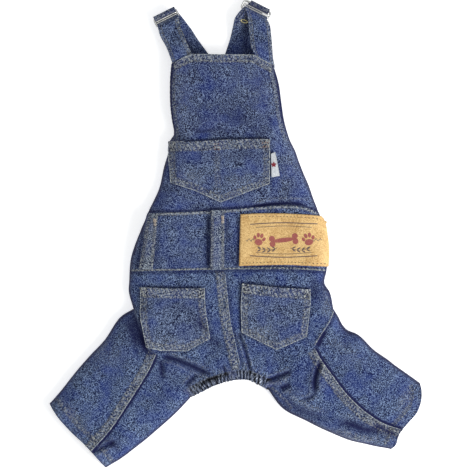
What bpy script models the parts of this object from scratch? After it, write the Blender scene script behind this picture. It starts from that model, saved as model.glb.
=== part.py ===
"""Denim pet overalls, lying flat on their underside: metres, +Z up, the bib's top towards +Y.

The garment is two layers of cloth. Plain rules give the height of each layer at any place in plan,
so the panels, and the pockets, loops and patch on them, follow each other when a size changes.
"""

import math
from collections import namedtuple

import bmesh
import bpy
from mathutils import Vector

# Driving sizes
BACK_LENGTH = 0.244
WAIST_WIDTH = 0.1485
LEG_LENGTH = 0.0885
CUFF_WIDTH = 0.0645
CROWN_HEIGHT = 0.0125
SIDE_HEIGHT = 0.003
SHOULDER_RUN = 0.016
ARM_GAPE = 0.006
CLOTH = 0.0014
BAND_CLOTH = 0.0018
SEAM_GAP = 0.0003
COVER_GAP = 0.0004

CHEST_POCKET_WIDTH = 0.0762
CHEST_POCKET_HEIGHT = 0.0462
SEAT_POCKET_WIDTH = 0.0507
SEAT_POCKET_HEIGHT = 0.0482
POCKET_CLOTH = 0.0012

LOOP_WIDTH = 0.0107
LOOP_CLOTH = 0.0013
LOOP_RISE = 0.0012
PATCH_WIDTH = 0.0655
PATCH_HEIGHT = 0.0385
PATCH_LEATHER = 0.0012
TAB_WIDTH = 0.0056
TAB_LENGTH = 0.0178
TAB_CLOTH = 0.001

TAIL_HEM_WIDTH = 0.008
RUFFLE_HEIGHT = 0.0006
RUFFLE_COUNT = 15

STRAP_CLOTH = 0.0012
STRAP_TAIL = 0.006
SLIDER_HEIGHT = 0.0065
SLIDER_WIRE = 0.0012
SLIDER_BAR = 0.0016
SLIDER_SLOT = 0.0021

# Outline of the body. Each row is a share of the back length down from the bib's top, and the
# left and right edges as shares of the waist width from the middle line.
SideRow = namedtuple("SideRow", "down left right")
SIDES = (
    SideRow(0.092, -0.290, 0.256),
    SideRow(0.148, -0.291, 0.271),
    SideRow(0.200, -0.283, 0.283),
    SideRow(0.243, -0.273, 0.303),
    SideRow(0.268, -0.302, 0.317),
    SideRow(0.298, -0.303, 0.341),
    SideRow(0.345, -0.326, 0.371),
    SideRow(0.403, -0.346, 0.409),
    SideRow(0.446, -0.376, 0.434),
    SideRow(0.489, -0.409, 0.462),
    SideRow(0.523, -0.432, 0.485),
    SideRow(0.575, -0.467, 0.503),
    SideRow(0.622, -0.492, 0.504),
    SideRow(0.665, -0.500, 0.500),
    SideRow(0.702, -0.501, 0.489),
    SideRow(0.732, -0.500, 0.518),
    SideRow(0.782, -0.480, 0.535),
)
WAIST_TOP_ROW = 9
WAIST_LOW_ROW = 13
ARM_FULL = 0.19
ARM_FOOT = SIDES[3].down
ARM_BOTTOM = SIDES[4].down

# The hidden under layer above the arm openings, in the same shares.
SHOULDERS = (
    SideRow(0.040, -0.197, 0.086),
    SideRow(0.092, -0.222, 0.152),
    SideRow(0.148, -0.247, 0.212),
    SideRow(0.200, -0.258, 0.258),
    SideRow(0.243, -0.263, 0.293),
)
YOKE_SPLIT = -0.045

# Lines on the body, as shares of the waist width and of the back length.
Mark = namedtuple("Mark", "across down")
BIB_TOP = (Mark(-0.282, 0.026), Mark(-0.187, -0.002), Mark(0.131, 0.001), Mark(0.234, 0.034))
WAIST_TOP = (Mark(-0.409, 0.489), Mark(-0.086, 0.481), Mark(0.313, 0.464), Mark(0.462, 0.489))
WAIST_LOW = (Mark(-0.500, 0.665), Mark(0.253, 0.657), Mark(0.500, 0.665))
CENTRE_SEAM = (Mark(-0.018, 0.660), Mark(0.051, 0.966))
LEFT_GROIN = (Mark(-0.480, 0.782), Mark(-0.447, 0.846), Mark(-0.404, 0.908), Mark(-0.308, 0.972),
              Mark(-0.192, 1.055))
RIGHT_GROIN = (Mark(0.535, 0.782), Mark(0.495, 0.843), Mark(0.434, 0.895), Mark(0.343, 0.951),
               Mark(0.202, 1.031))
TAIL_LINE = (Mark(-0.192, 1.055), Mark(-0.101, 1.025), Mark(-0.010, 1.003), Mark(0.071, 0.997),
             Mark(0.111, 1.000), Mark(0.157, 1.014), Mark(0.202, 1.031))
TAIL_SEAM_LEFT = (Mark(-0.121, 0.995), Mark(-0.010, 0.974))
TAIL_SEAM_RIGHT = (Mark(0.111, 0.969), Mark(0.172, 0.985))
TAIL_SEAM = (*TAIL_SEAM_LEFT, CENTRE_SEAM[1], *TAIL_SEAM_RIGHT)

# Leg edges. Each row gives both edges as shares of the leg's length along its axis and of the
# cuff's width across it.
LegRow = namedtuple("LegRow", "outer_along outer_across inner_along inner_across")
Leg = namedtuple("Leg", "name groin slant_deg length width bow rows")
LEGS = (
    Leg("leg_left", LEFT_GROIN, 224.5, 1.0, 1.0, 0.02, (
        LegRow(0.058, 0.641, 0.251, -0.608),
        LegRow(0.267, 0.581, 0.416, -0.605),
        LegRow(0.453, 0.571, 0.587, -0.595),
        LegRow(0.636, 0.548, 0.737, -0.572),
        LegRow(0.824, 0.517, 0.884, -0.545),
        LegRow(0.980, 0.499, 1.020, -0.499))),
    Leg("leg_right", RIGHT_GROIN, -32.6, 1.054, 0.851, 0.06, (
        LegRow(0.214, 0.573, 0.125, -0.813),
        LegRow(0.330, 0.594, 0.292, -0.801),
        LegRow(0.508, 0.527, 0.505, -0.757),
        LegRow(0.655, 0.517, 0.708, -0.690),
        LegRow(0.802, 0.507, 0.886, -0.603),
        LegRow(0.955, 0.494, 1.045, -0.494))),
)

# Folds pressed into the upper layer, from one mark to another. The depth is a share of the
# crown's height, and the half width a share of the shoulder's run.
Fold = namedtuple("Fold", "across_0 down_0 across_1 down_1 depth half_width")
FOLDS = (
    Fold(-0.345, 0.928, -0.120, 0.975, 0.14, 0.22),
    Fold(0.247, 0.995, 0.310, 0.972, 0.14, 0.20),
    Fold(0.430, 0.985, 0.452, 1.040, 0.14, 0.20),
    Fold(0.600, 1.138, 0.760, 1.150, 0.16, 0.22),
    Fold(-0.600, 1.170, -0.560, 1.215, 0.12, 0.20),
)

# Straps. Each row names the slider's middle, its turn, the bib's corner marks and the places
# on the under layer's top edge that the rear strand is sewn to.
Strap = namedtuple("Strap", "side across down turn_deg corner rear_from rear_to")
STRAPS = (
    Strap("left", -0.311, -0.115, 26.5, (0, 1), -0.197, YOKE_SPLIT),
    Strap("right", 0.139, -0.134, -24.0, (2, 3), YOKE_SPLIT, 0.086),
)

EDGE_STEPS = (0.0, 0.06, 0.234, 0.5, 1.0)
ROLL_STEPS = (0.0, 0.134, 0.5, 1.0)
POCKET_STEPS = (0.0, 0.07, 0.17, 0.32, 0.52, 0.8)


def place(mark):
    """Plan position of a mark on the body."""
    return Vector((mark.across * WAIST_WIDTH, -mark.down * BACK_LENGTH))


class Path:
    """A line through a few plan points, read by its share of length."""

    def __init__(self, points):
        self.points = [Vector(p) for p in points]
        self.runs = [0.0]
        for a, b in zip(self.points, self.points[1:]):
            self.runs.append(self.runs[-1] + (b - a).length)
        self.length = self.runs[-1]

    def at(self, share):
        """Point at a share of the whole length."""
        run = min(max(share, 0.0), 1.0) * self.length
        for k in range(len(self.points) - 1):
            if run <= self.runs[k + 1]:
                step = self.runs[k + 1] - self.runs[k]
                return self.points[k].lerp(self.points[k + 1], (run - self.runs[k]) / step)
        return self.points[-1].copy()

    def part(self, start, end):
        """The stretch between two lengths along the path."""
        inner = [p for p, run in zip(self.points, self.runs) if start + 1e-6 < run < end - 1e-6]
        return Path([self.at(start / self.length), *inner, self.at(end / self.length)])

    def by_rows(self):
        """Makes each point an even step of the path's shares, and gives the path back."""
        self.runs = list(range(len(self.points)))
        self.length = self.runs[-1]
        return self

    def moved(self, offset):
        """The same path moved by a plan offset."""
        return Path([p + Vector(offset) for p in self.points])

    def nearest(self, point):
        """Shortest distance from a plan point to the path, and the path's heading there."""
        best, heading = math.inf, None
        for a, b in zip(self.points, self.points[1:]):
            run = b - a
            share = min(max((point - a).dot(run) / run.length_squared, 0.0), 1.0)
            distance = (point - a - run * share).length
            if distance < best:
                best, heading = distance, run.normalized()
        return best, heading


class Quad:
    """A plan area between four paths: left and right run down, top and bottom run across."""

    def __init__(self, left, right, top, bottom):
        self.left, self.right, self.top, self.bottom = left, right, top, bottom

    def at(self, s, t):
        """Plan point at the shares s across and t down. Top and bottom set the corners."""
        point = self.top.at(s).lerp(self.bottom.at(s), t)
        bow_left = self.left.at(t) - self.left.at(0).lerp(self.left.at(1), t)
        bow_right = self.right.at(t) - self.right.at(0).lerp(self.right.at(1), t)
        return point + bow_left.lerp(bow_right, s)


def leg_frame(leg):
    """Root, axis and outward direction of a leg in plan."""
    root = (place(leg.groin[0]) + place(leg.groin[-1])) / 2
    slant = math.radians(leg.slant_deg)
    axis = Vector((math.cos(slant), math.sin(slant)))
    outward = Vector((-axis.y, axis.x))
    if outward.y < 0:
        outward = -outward
    return root, axis, outward


def leg_edge(leg, end):
    """Path of a leg's outer (end 0) or inner (end -1) edge, from the groin to the cuff."""
    root, axis, outward = leg_frame(leg)
    points = [place(leg.groin[end])]
    for row in leg.rows:
        along, across = (row[0], row[1]) if end == 0 else (row[2], row[3])
        points.append(root + axis * along * leg.length * LEG_LENGTH
                      + outward * across * leg.width * CUFF_WIDTH)
    return Path(points)


def side_path(column, first=0, last=len(SIDES)):
    """The body's left or right edge between two rows."""
    return Path([(row[column] * WAIST_WIDTH, -row.down * BACK_LENGTH) for row in SIDES[first:last]])


# The garment's edges in plan, each with the side of its heading that the cloth lies on.
FoldEdge = namedtuple("FoldEdge", "path inside")
FOLD_EDGES = (
    FoldEdge(Path([place(BIB_TOP[0]), *side_path(1).points, *leg_edge(LEGS[0], 0).points[1:]]), 1),
    FoldEdge(Path([place(BIB_TOP[3]), *side_path(2).points, *leg_edge(LEGS[1], 0).points[1:]]), -1),
    FoldEdge(leg_edge(LEGS[0], -1), -1),
    FoldEdge(leg_edge(LEGS[1], -1), 1),
)
EDGE_REACH = 0.0004
FOLD_LINES = [Path([place(Mark(f.across_0, f.down_0)), place(Mark(f.across_1, f.down_1))])
              for f in FOLDS]


def ease(value):
    """Smooth step from 0 to 1."""
    value = min(max(value, 0.0), 1.0)
    return value * value * (3 - 2 * value)


def quarter(distance, run):
    """Rise of a quarter ellipse, from 0 at its foot to 1 at its run."""
    return math.sqrt(max(0.0, 1 - (1 - min(distance, run) / run) ** 2))


def edge_height(point):
    """Height of the upper layer's side edge: it gapes at the arm openings."""
    down = -point.y / BACK_LENGTH
    return SIDE_HEIGHT + ARM_GAPE * ease((ARM_BOTTOM - down) / (ARM_BOTTOM - ARM_FULL))


def nearest_edge(point):
    """Distance to the garment's edge and the direction square to it, towards the cloth."""
    best, inward = math.inf, None
    for edge in FOLD_EDGES:
        distance, heading = edge.path.nearest(point)
        if distance < best:
            best, inward = distance, Vector((-heading.y, heading.x)) * edge.inside
    return best, inward


def upper_height(point):
    """Height of the upper layer's outer face."""
    distance = nearest_edge(point)[0]
    foot = edge_height(point)
    height = foot + (CROWN_HEIGHT - foot) * quarter(distance, SHOULDER_RUN)
    for fold, line in zip(FOLDS, FOLD_LINES):
        reach = line.nearest(point)[0] / (fold.half_width * SHOULDER_RUN)
        press = fold.depth * math.exp(-reach * reach) * quarter(distance, SHOULDER_RUN)
        height -= press * CROWN_HEIGHT
    return height


def lower_height(point):
    """Height of the under layer's outer face: it lies on the surface and curls up at the folds."""
    distance = nearest_edge(point)[0]
    joined = ease((-point.y / BACK_LENGTH - ARM_FOOT) / (ARM_BOTTOM - ARM_FOOT))
    return (SIDE_HEIGHT - SEAM_GAP) * joined * (1 - quarter(distance, SIDE_HEIGHT))


def square_to(height, point, face):
    """Unit vector out of a layer's face: face is 1 on the upper layer and -1 on the under one."""
    distance, inward = nearest_edge(point)
    if distance < EDGE_REACH:
        return Vector((-inward.x, -inward.y, 0.0))
    step = EDGE_REACH / 2
    rise_x = height(point + Vector((step, 0))) - height(point - Vector((step, 0)))
    rise_y = height(point + Vector((0, step))) - height(point - Vector((0, step)))
    return Vector((-rise_x, -rise_y, 2 * step)).normalized() * face


def on_top(point, lift):
    """A 3-D point at a distance outside the upper layer's face, measured square to it."""
    start = Vector((point.x, point.y, upper_height(point)))
    return start + square_to(upper_height, point, 1) * lift


def on_floor(point, lift):
    """A 3-D point at a distance outside the under layer's face, measured square to it."""
    start = Vector((point.x, point.y, lower_height(point)))
    if lower_height(point) < 1e-6:
        return start - Vector((0, 0, lift))
    return start + square_to(lower_height, point, -1) * lift


def material(name, colour, roughness, metallic=0.0):
    """A Principled material."""
    made = bpy.data.materials.new(name)
    made.use_nodes = True
    shader = made.node_tree.nodes["Principled BSDF"]
    shader.inputs["Base Color"].default_value = (*colour, 1.0)
    shader.inputs["Roughness"].default_value = roughness
    shader.inputs["Metallic"].default_value = metallic
    return made


def add_object(name, bm, finish, parent):
    """Turns a bmesh into a smooth shaded object under the parent."""
    mesh = bpy.data.meshes.new(name)
    bm.to_mesh(mesh)
    bm.free()
    mesh.shade_smooth()
    made = bpy.data.objects.new(name, mesh)
    bpy.context.scene.collection.objects.link(made)
    made.data.materials.append(finish)
    made.parent = parent
    return made


def skin(bm, lines, closed):
    """Quads between lines of vertices."""
    count = len(lines[0])
    for above, below in zip(lines, lines[1:]):
        for k in range(count if closed else count - 1):
            n = (k + 1) % count
            bm.faces.new((above[k], below[k], below[n], above[n]))


def shell(name, outside, inside, finish, parent, closed=False):
    """One closed body between two grids of points: a sheet, or a tube if its rows are closed."""
    bm = bmesh.new()
    outer = [[bm.verts.new(p) for p in row] for row in outside]
    inner = [[bm.verts.new(p) for p in row] for row in inside]
    skin(bm, outer, closed)
    skin(bm, inner, closed)
    skin(bm, [outer[0], inner[0]], closed)
    skin(bm, [outer[-1], inner[-1]], closed)
    if not closed:
        for k in (0, -1):
            skin(bm, [[row[k] for row in outer], [row[k] for row in inner]], False)
    bmesh.ops.recalc_face_normals(bm, faces=bm.faces)
    return add_object(name, bm, finish, parent)


def upper_sheet(name, quad, across, down, wall, finish, parent, lift=0.0):
    """A panel whose outer face lies at a distance from the upper layer's face."""
    plan = [[quad.at(s, t) for s in across] for t in down]
    outside = [[on_top(p, lift) for p in row] for row in plan]
    inside = [[on_top(p, lift - wall) for p in row] for row in plan]
    return shell(name, outside, inside, finish, parent)


def lower_sheet(name, quad, across, down, finish, parent):
    """A panel whose outer face follows the under layer."""
    plan = [[quad.at(s, t) for s in across] for t in down]
    outside = [[on_floor(p, 0.0) for p in row] for row in plan]
    inside = [[on_floor(p, -CLOTH) for p in row] for row in plan]
    return shell(name, outside, inside, finish, parent)


def shares(count, start=0.0, end=1.0):
    """Evenly spread values with both ends."""
    return [start + (end - start) * k / count for k in range(count + 1)]


def edged(width, left, right, inner):
    """Shares across a panel, closer together at the edges that roll over.

    left and right are lists of distances from each edge, and inner is the number of even
    steps between them.
    """
    start = [d / width for d in left]
    end = [1 - d / width for d in reversed(right)]
    return start + shares(inner, start[-1], end[0])[1:-1] + end


def snapped(values, *paths):
    """The same shares, with the nearest inner one moved onto each inner corner of the paths."""
    values = list(values)
    fixed = {0, len(values) - 1}
    for path in paths:
        for run in path.runs[1:-1]:
            share = run / path.length
            free = [k for k in range(len(values)) if k not in fixed]
            nearest = min(free, key=lambda k: abs(values[k] - share))
            values[nearest] = share
            fixed.add(nearest)
    return sorted(values)


def rolled(steps, run):
    """Distances from a rolled edge."""
    return [step * run for step in steps]


def groin_stops(leg):
    """Lengths along a groin line where its sheets have points."""
    length = Path([place(m) for m in leg.groin]).length
    start = rolled(EDGE_STEPS, SHOULDER_RUN)
    end = [SHOULDER_RUN, TAIL_HEM_WIDTH, 0.234 * SHOULDER_RUN, 0.06 * SHOULDER_RUN, 0.0]
    middle = shares(5, start[-1], length - end[0])[1:-1]
    stops = [stop / length for stop in start + middle] + [1 - d / length for d in end]
    return [share * length for share in snapped(stops, Path([place(m) for m in leg.groin]))]


def make_bib(finish, parent):
    """The upper cloth from the bib's top hem to the waistband."""
    left = Path([place(BIB_TOP[0]), *side_path(1, 0, WAIST_TOP_ROW + 1).points])
    right = Path([place(BIB_TOP[3]), *side_path(2, 0, WAIST_TOP_ROW + 1).points])
    top = Path([place(m) for m in BIB_TOP])
    bottom = Path([place(m) for m in WAIST_TOP]).moved((0, SEAM_GAP / 2))
    corner_left = top.runs[1] / top.length
    corner_right = top.runs[2] / top.length
    start = [d * corner_left for d in EDGE_STEPS]
    end = [1 - d * (1 - corner_right) for d in reversed(EDGE_STEPS)]
    across = snapped(start + shares(7, corner_left, corner_right)[1:-1] + end, top, bottom)
    quad = Quad(left.by_rows(), right.by_rows(), top, bottom)
    down = shares(2 * WAIST_TOP_ROW + 2)
    upper_sheet("bib_panel", quad, across, down, CLOTH, finish, parent)


def make_waistband(finish, parent):
    """The raised band across the waist."""
    left = side_path(1, WAIST_TOP_ROW, WAIST_LOW_ROW + 1)
    right = side_path(2, WAIST_TOP_ROW, WAIST_LOW_ROW + 1)
    top = Path([place(m) for m in WAIST_TOP]).moved((0, -SEAM_GAP / 2))
    bottom = Path([place(m) for m in WAIST_LOW]).moved((0, SEAM_GAP / 2))
    steps = rolled(EDGE_STEPS, SHOULDER_RUN)
    across = snapped(edged(WAIST_WIDTH, steps, steps, 10), top, bottom)
    quad = Quad(left.by_rows(), right.by_rows(), top, bottom)
    down = shares(2 * (WAIST_LOW_ROW - WAIST_TOP_ROW))
    upper_sheet("waistband", quad, across, down, BAND_CLOTH, finish, parent, BAND_CLOTH - CLOTH)


def make_seat(leg, column, finish, parent):
    """One half of the seat, from the waistband to the tail hem, beside the centre seam."""
    groin = Path([place(m) for m in leg.groin])
    stops = [stop for stop in groin_stops(leg) if stop < groin.length - TAIL_HEM_WIDTH + 1e-6]
    side = side_path(column, WAIST_LOW_ROW)
    edge = groin.part(0, stops[-1])
    outer = Path([*side.points, *edge.points[1:]])
    seam = Path([place(m) for m in CENTRE_SEAM])
    sign = -1 if column == 1 else 1
    inner = seam.moved((sign * SEAM_GAP / 2, 0))
    tail = [place(m) for m in (TAIL_SEAM_LEFT if column == 1 else reversed(TAIL_SEAM_RIGHT))]
    bend = [] if column == 1 else [place(WAIST_LOW[1])]
    top = Path([side.points[0], *bend, inner.points[0]]).moved((0, -SEAM_GAP / 2))
    bottom = Path([edge.points[-1], *tail, inner.points[-1]]).moved((0, SEAM_GAP / 2))
    down = [run / outer.length for run in side.runs]
    down += [(side.length + stop) / outer.length for stop in stops[1:]]
    steps = rolled(EDGE_STEPS, SHOULDER_RUN)
    across = edged((side.points[0] - inner.points[0]).length, steps, [0.0], 5)
    across = snapped(across, top, bottom)
    quad = Quad(outer, inner, top, bottom)
    upper_sheet(f"seat_{leg.name[4:]}", quad, across, down, CLOTH, finish, parent)


def make_belly(finish, parent):
    """The hidden under cloth from the shoulders to the tail hem."""
    sides = []
    for column, leg in ((1, LEGS[0]), (2, LEGS[1])):
        groin = Path([place(m) for m in leg.groin])
        shoulder = [(row[column] * WAIST_WIDTH, -row.down * BACK_LENGTH) for row in SHOULDERS]
        lower = [groin.at(stop / groin.length) for stop in groin_stops(leg)[1:]
                 if stop < groin.length - TAIL_HEM_WIDTH + 1e-6]
        sides.append(Path([*shoulder, *side_path(column, 4).points, *lower]).by_rows())
    top = Path([sides[0].points[0], sides[1].points[0]])
    tail = [place(m) for m in TAIL_SEAM]
    bottom = Path([sides[0].points[-1], *tail, sides[1].points[-1]]).moved((0, SEAM_GAP / 2))
    steps = rolled(ROLL_STEPS, SIDE_HEIGHT)
    across = snapped(edged(WAIST_WIDTH * 0.8, steps, steps, 10), bottom)
    quad = Quad(sides[0], sides[1], top, bottom)
    down = shares(len(sides[0].points) - 1)
    lower_sheet("belly_panel", quad, across, down, finish, parent)


def make_leg(leg, finish, parent):
    """A flattened open tube from the groin to the cuff."""
    axis = leg_frame(leg)[1]
    groin = Path([place(m) for m in leg.groin])
    outer, inner = leg_edge(leg, 0), leg_edge(leg, -1)
    stops = [stop / groin.length for stop in groin_stops(leg)]
    rolls = rolled(ROLL_STEPS, SIDE_HEIGHT)
    under = snapped(edged(groin.length, rolls, rolls, 7), groin)
    bow = leg.bow * LEG_LENGTH
    cuff_points = []
    for s in shares(6):
        cuff_points.append(outer.at(1).lerp(inner.at(1), s) + axis * bow * 6.75 * s * (1 - s) ** 2)
    start = groin.moved(axis * SEAM_GAP)
    quad = Quad(outer, inner, start, Path(cuff_points))
    outside, inside = [], []
    for t in shares(12):
        upper = [quad.at(s, t) for s in stops]
        lower = [quad.at(s, t) for s in reversed(under)][1:-1]
        outside.append([on_top(p, 0.0) for p in upper] + [on_floor(p, 0.0) for p in lower])
        inside.append([on_top(p, -CLOTH) for p in upper] + [on_floor(p, -CLOTH) for p in lower])
    shell(leg.name, outside, inside, finish, parent, True)


def make_tail_hem(finish, parent):
    """The gathered hem round the tail opening, in an upper and an under strip."""
    ends = []
    for leg in LEGS:
        groin = Path([place(m) for m in leg.groin])
        ends.append(groin.part(groin.length - TAIL_HEM_WIDTH, groin.length))
    seam = [place(m) for m in TAIL_SEAM]
    start = Path([ends[0].points[0], *seam, ends[1].points[0]]).moved((0, -SEAM_GAP / 2))
    quad = Quad(ends[0], ends[1], start, Path([place(m) for m in TAIL_LINE]))
    inset = CLOTH / start.length
    across = snapped(shares(RUFFLE_COUNT * 4, inset, 1 - inset), start)
    upper, upper_in, under, under_in = [], [], [], []
    for t in (0.0, 0.35, 1.0):
        lines = [[], [], [], []]
        for s in across:
            point = quad.at(s, t)
            fade = ease(min(s, 1 - s) * 8) * ease(t * 2.5)
            wave = RUFFLE_HEIGHT * math.sin(s * RUFFLE_COUNT * math.tau) * fade
            top = upper_height(point) + wave
            low = lower_height(point) + RUFFLE_HEIGHT * fade + wave
            for line, height in zip(lines, (top, top - CLOTH, low, low + CLOTH)):
                line.append(Vector((point.x, point.y, height)))
        for rows, line in zip((upper, upper_in, under, under_in), lines):
            rows.append(line)
    shell("tail_hem_upper", upper, upper_in, finish, parent)
    shell("tail_hem_lower", under, under_in, finish, parent)


# Pocket outlines. The corner is a mark on the body, and the rows are shares of the pocket's own
# width across and height down, in order: top left, top right, bottom right, the bottom's low
# points from right to left, and bottom left.
Pocket = namedtuple("Pocket", "name corner width height top_right sides low_right lows low_left")
POCKETS = (
    Pocket("chest_pocket", Mark(-0.301, 0.266), CHEST_POCKET_WIDTH, CHEST_POCKET_HEIGHT,
           (0.998, -0.044), ((0.0, 0.35), (1.0, 0.35)), (0.996, 0.690), ((0.517, 0.990),),
           (0.018, 0.672)),
    Pocket("seat_pocket_left", Mark(-0.441, 0.714), SEAT_POCKET_WIDTH, SEAT_POCKET_HEIGHT,
           (0.950, 0.015), ((0.010, 0.540), (0.960, 0.330)), (1.030, 0.795),
           ((0.685, 0.995), (0.300, 0.985)), (0.085, 0.930)),
    Pocket("seat_pocket_right", Mark(0.071, 0.702), SEAT_POCKET_WIDTH, SEAT_POCKET_HEIGHT,
           (1.015, 0.095), ((-0.023, 0.340), (1.010, 0.340)), (0.955, 0.825), ((0.503, 1.030),),
           (-0.008, 0.762)),
)


def make_pocket(pocket, finish, parent):
    """A patch pocket lying on the upper layer."""
    corner = place(pocket.corner)

    def point(pair):
        return corner + Vector((pair[0] * pocket.width, -pair[1] * pocket.height))

    top_left, top_right = corner, point(pocket.top_right)
    low_left, low_right = point(pocket.low_left), point(pocket.low_right)
    left = Path([top_left, point(pocket.sides[0]), low_left])
    right = Path([top_right, point(pocket.sides[1]), low_right])
    top = Path([top_left, top_right])
    bottom = Path([low_left, *reversed([point(p) for p in pocket.lows]), low_right])
    steps = [step * SHOULDER_RUN for step in POCKET_STEPS]
    across = snapped(edged(pocket.width, steps, steps, 5), bottom)
    upper_sheet(pocket.name, Quad(left, right, top, bottom), across, shares(8), POCKET_CLOTH, finish,
                parent, COVER_GAP + POCKET_CLOTH)


# Belt loops: marks at the waistband's top and bottom for the loop's left edge.
Loop = namedtuple("Loop", "name top bottom")
LOOPS = (
    Loop("belt_loop_left", Mark(-0.400, 0.503), Mark(-0.449, 0.652)),
    Loop("belt_loop_centre", Mark(-0.091, 0.489), Mark(-0.091, 0.655)),
)


def make_loop(loop, finish, parent):
    """A belt loop that stands off from the waistband between its sewn ends."""
    outside, inside = [], []
    for t in shares(10):
        left = place(loop.top).lerp(place(loop.bottom), t)
        rise = BAND_CLOTH - CLOTH + COVER_GAP + LOOP_RISE * ease(min(t, 1 - t) * 4)
        line = [left + Vector((LOOP_WIDTH * s, 0)) for s in shares(3)]
        outside.append([on_top(p, rise + LOOP_CLOTH) for p in line])
        inside.append([on_top(p, rise) for p in line])
    shell(loop.name, outside, inside, finish, parent)


# The patch's lie: its left corners from its right ones, the bows of its top and bottom, and the
# inset of its right end, as shares of its own width and height.
PATCH_TOP_LEFT = (-0.965, 0.109)
PATCH_LOW_LEFT = (-1.0, 0.008)
PATCH_BOWS = (0.057, 0.026)
PATCH_INSET = 0.026


def make_patch(finish, parent):
    """The leather patch on the waistband, wrapped over the right side fold."""
    side = side_path(2, WAIST_TOP_ROW, WAIST_LOW_ROW + 1)
    margin = (side.length - PATCH_HEIGHT) / 2
    inset = PATCH_HEIGHT * PATCH_INSET
    right = side.part(margin + inset, margin + PATCH_HEIGHT - inset)
    top_right, low_right = right.points[0], right.points[-1]
    top_left, low_left = (
        corner + Vector((PATCH_WIDTH * share[0], PATCH_HEIGHT * share[1]))
        for corner, share in ((top_right, PATCH_TOP_LEFT), (low_right, PATCH_LOW_LEFT)))
    arch_top = top_left.lerp(top_right, 0.5) + Vector((0, PATCH_HEIGHT * PATCH_BOWS[0]))
    arch_low = low_left.lerp(low_right, 0.5) + Vector((0, PATCH_HEIGHT * PATCH_BOWS[1]))
    top = Path([top_left, arch_top, top_right])
    bottom = Path([low_left, arch_low, low_right])
    quad = Quad(Path([top_left, low_left]), right, top, bottom)
    steps = rolled(EDGE_STEPS, SHOULDER_RUN)
    across = edged(PATCH_WIDTH, [0.0], steps, 7)
    lift = BAND_CLOTH - CLOTH + COVER_GAP + PATCH_LEATHER
    upper_sheet("leather_patch", quad, across, shares(6), PATCH_LEATHER, finish, parent, lift)


# The tab's lie: its place down the pocket's edge as a share of the pocket's height, and its other
# corners as shares of its own width and length, each from the one before.
TAB_DOWN = 0.27
TAB_TOP_RIGHT = (0.55, 0.079)
TAB_LOW_LEFT = (0.07, -1.0)
TAB_LOW_RIGHT = (1.0, 0.056)


def make_tab(finish, parent):
    """The woven side tab at the chest pocket's right edge."""
    pocket = POCKETS[0]
    size = Vector((TAB_WIDTH, TAB_LENGTH))
    high = place(pocket.corner) + Vector((pocket.width + SEAM_GAP * 3, -TAB_DOWN * pocket.height))
    low = high + size * Vector(TAB_LOW_LEFT)
    top = Path([high, high + size * Vector(TAB_TOP_RIGHT)])
    bottom = Path([low, low + size * Vector(TAB_LOW_RIGHT)])
    right = Path([top.points[1], bottom.points[1]])
    quad = Quad(Path([high, low]), right, top, bottom)
    upper_sheet("side_tab", quad, shares(3), shares(5), TAB_CLOTH, finish, parent,
                COVER_GAP + TAB_CLOTH)


def slider_frame(strap):
    """Middle, width direction and up direction of a slider in plan."""
    turn = math.radians(strap.turn_deg)
    wide = Vector((math.cos(turn), math.sin(turn)))
    return place(Mark(strap.across, strap.down)), wide, Vector((-wide.y, wide.x))


def strap_width(strap):
    """Width of a strap: the slanted corner of the bib that it is sewn to."""
    first, last = strap.corner
    return (place(BIB_TOP[last]) - place(BIB_TOP[first])).length * 0.98


BAR_REACH = SLIDER_BAR / 2 + SLIDER_SLOT + SLIDER_WIRE / 2
WRAP = SLIDER_WIRE * 0.75 + SEAM_GAP + STRAP_CLOTH / 2
Turn = namedtuple("Turn", "along up")


def wrap_turns(first_deg, last_deg, steps):
    """Points of a strap's wrap round a slider bar, from the bar's own middle."""
    turns = []
    for k in range(steps + 1):
        angle = math.radians(first_deg + (last_deg - first_deg) * k / steps)
        turns.append(Turn(WRAP * math.cos(angle), WRAP * math.sin(angle)))
    return turns


def ribbon(name, rows, finish, parent):
    """A strap solid through rows of points on its middle layer."""
    bm = bmesh.new()
    skin(bm, [[bm.verts.new(p) for p in row] for row in rows], False)
    made = add_object(name, bm, finish, parent)
    solidify = made.modifiers.new("wall", "SOLIDIFY")
    solidify.thickness = STRAP_CLOTH
    solidify.offset = 0.0


def make_front_strand(strap, finish, parent):
    """The strand sewn to the bib, over the slider's lower bar and back under it."""
    middle, wide, up = slider_frame(strap)
    first, last = (place(BIB_TOP[k]) for k in strap.corner)
    half = strap_width(strap) / 2
    end_left = middle - wide * half - up * BAR_REACH
    end_right = middle + wide * half - up * BAR_REACH
    run = (end_left - first).length
    across = (0.0, 0.06, 0.234, 0.5, 0.766, 0.94, 1.0)
    away = (end_left - first).normalized() * SEAM_GAP
    rows = []
    for t in shares(9):
        row = []
        for s in across:
            start = first.lerp(last, s) + away
            end = end_left.lerp(end_right, s)
            bend = end - up * run * 0.25
            point = start.lerp(bend, t).lerp(bend.lerp(end, t), t)
            low = upper_height(start) - STRAP_CLOTH / 2
            height = low + (SLIDER_HEIGHT + WRAP - low) * ease(t)
            row.append(Vector((point.x, point.y, height)))
        rows.append(row)
    path = [*wrap_turns(90, -90, 6)[1:], Turn(-STRAP_TAIL, -WRAP)]
    for turn in path:
        row = []
        for s in across:
            point = end_left.lerp(end_right, s) + up * turn.along
            row.append(Vector((point.x, point.y, SLIDER_HEIGHT + turn.up)))
        rows.append(row)
    ribbon(f"strap_front_{strap.side}", rows, finish, parent)


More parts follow.
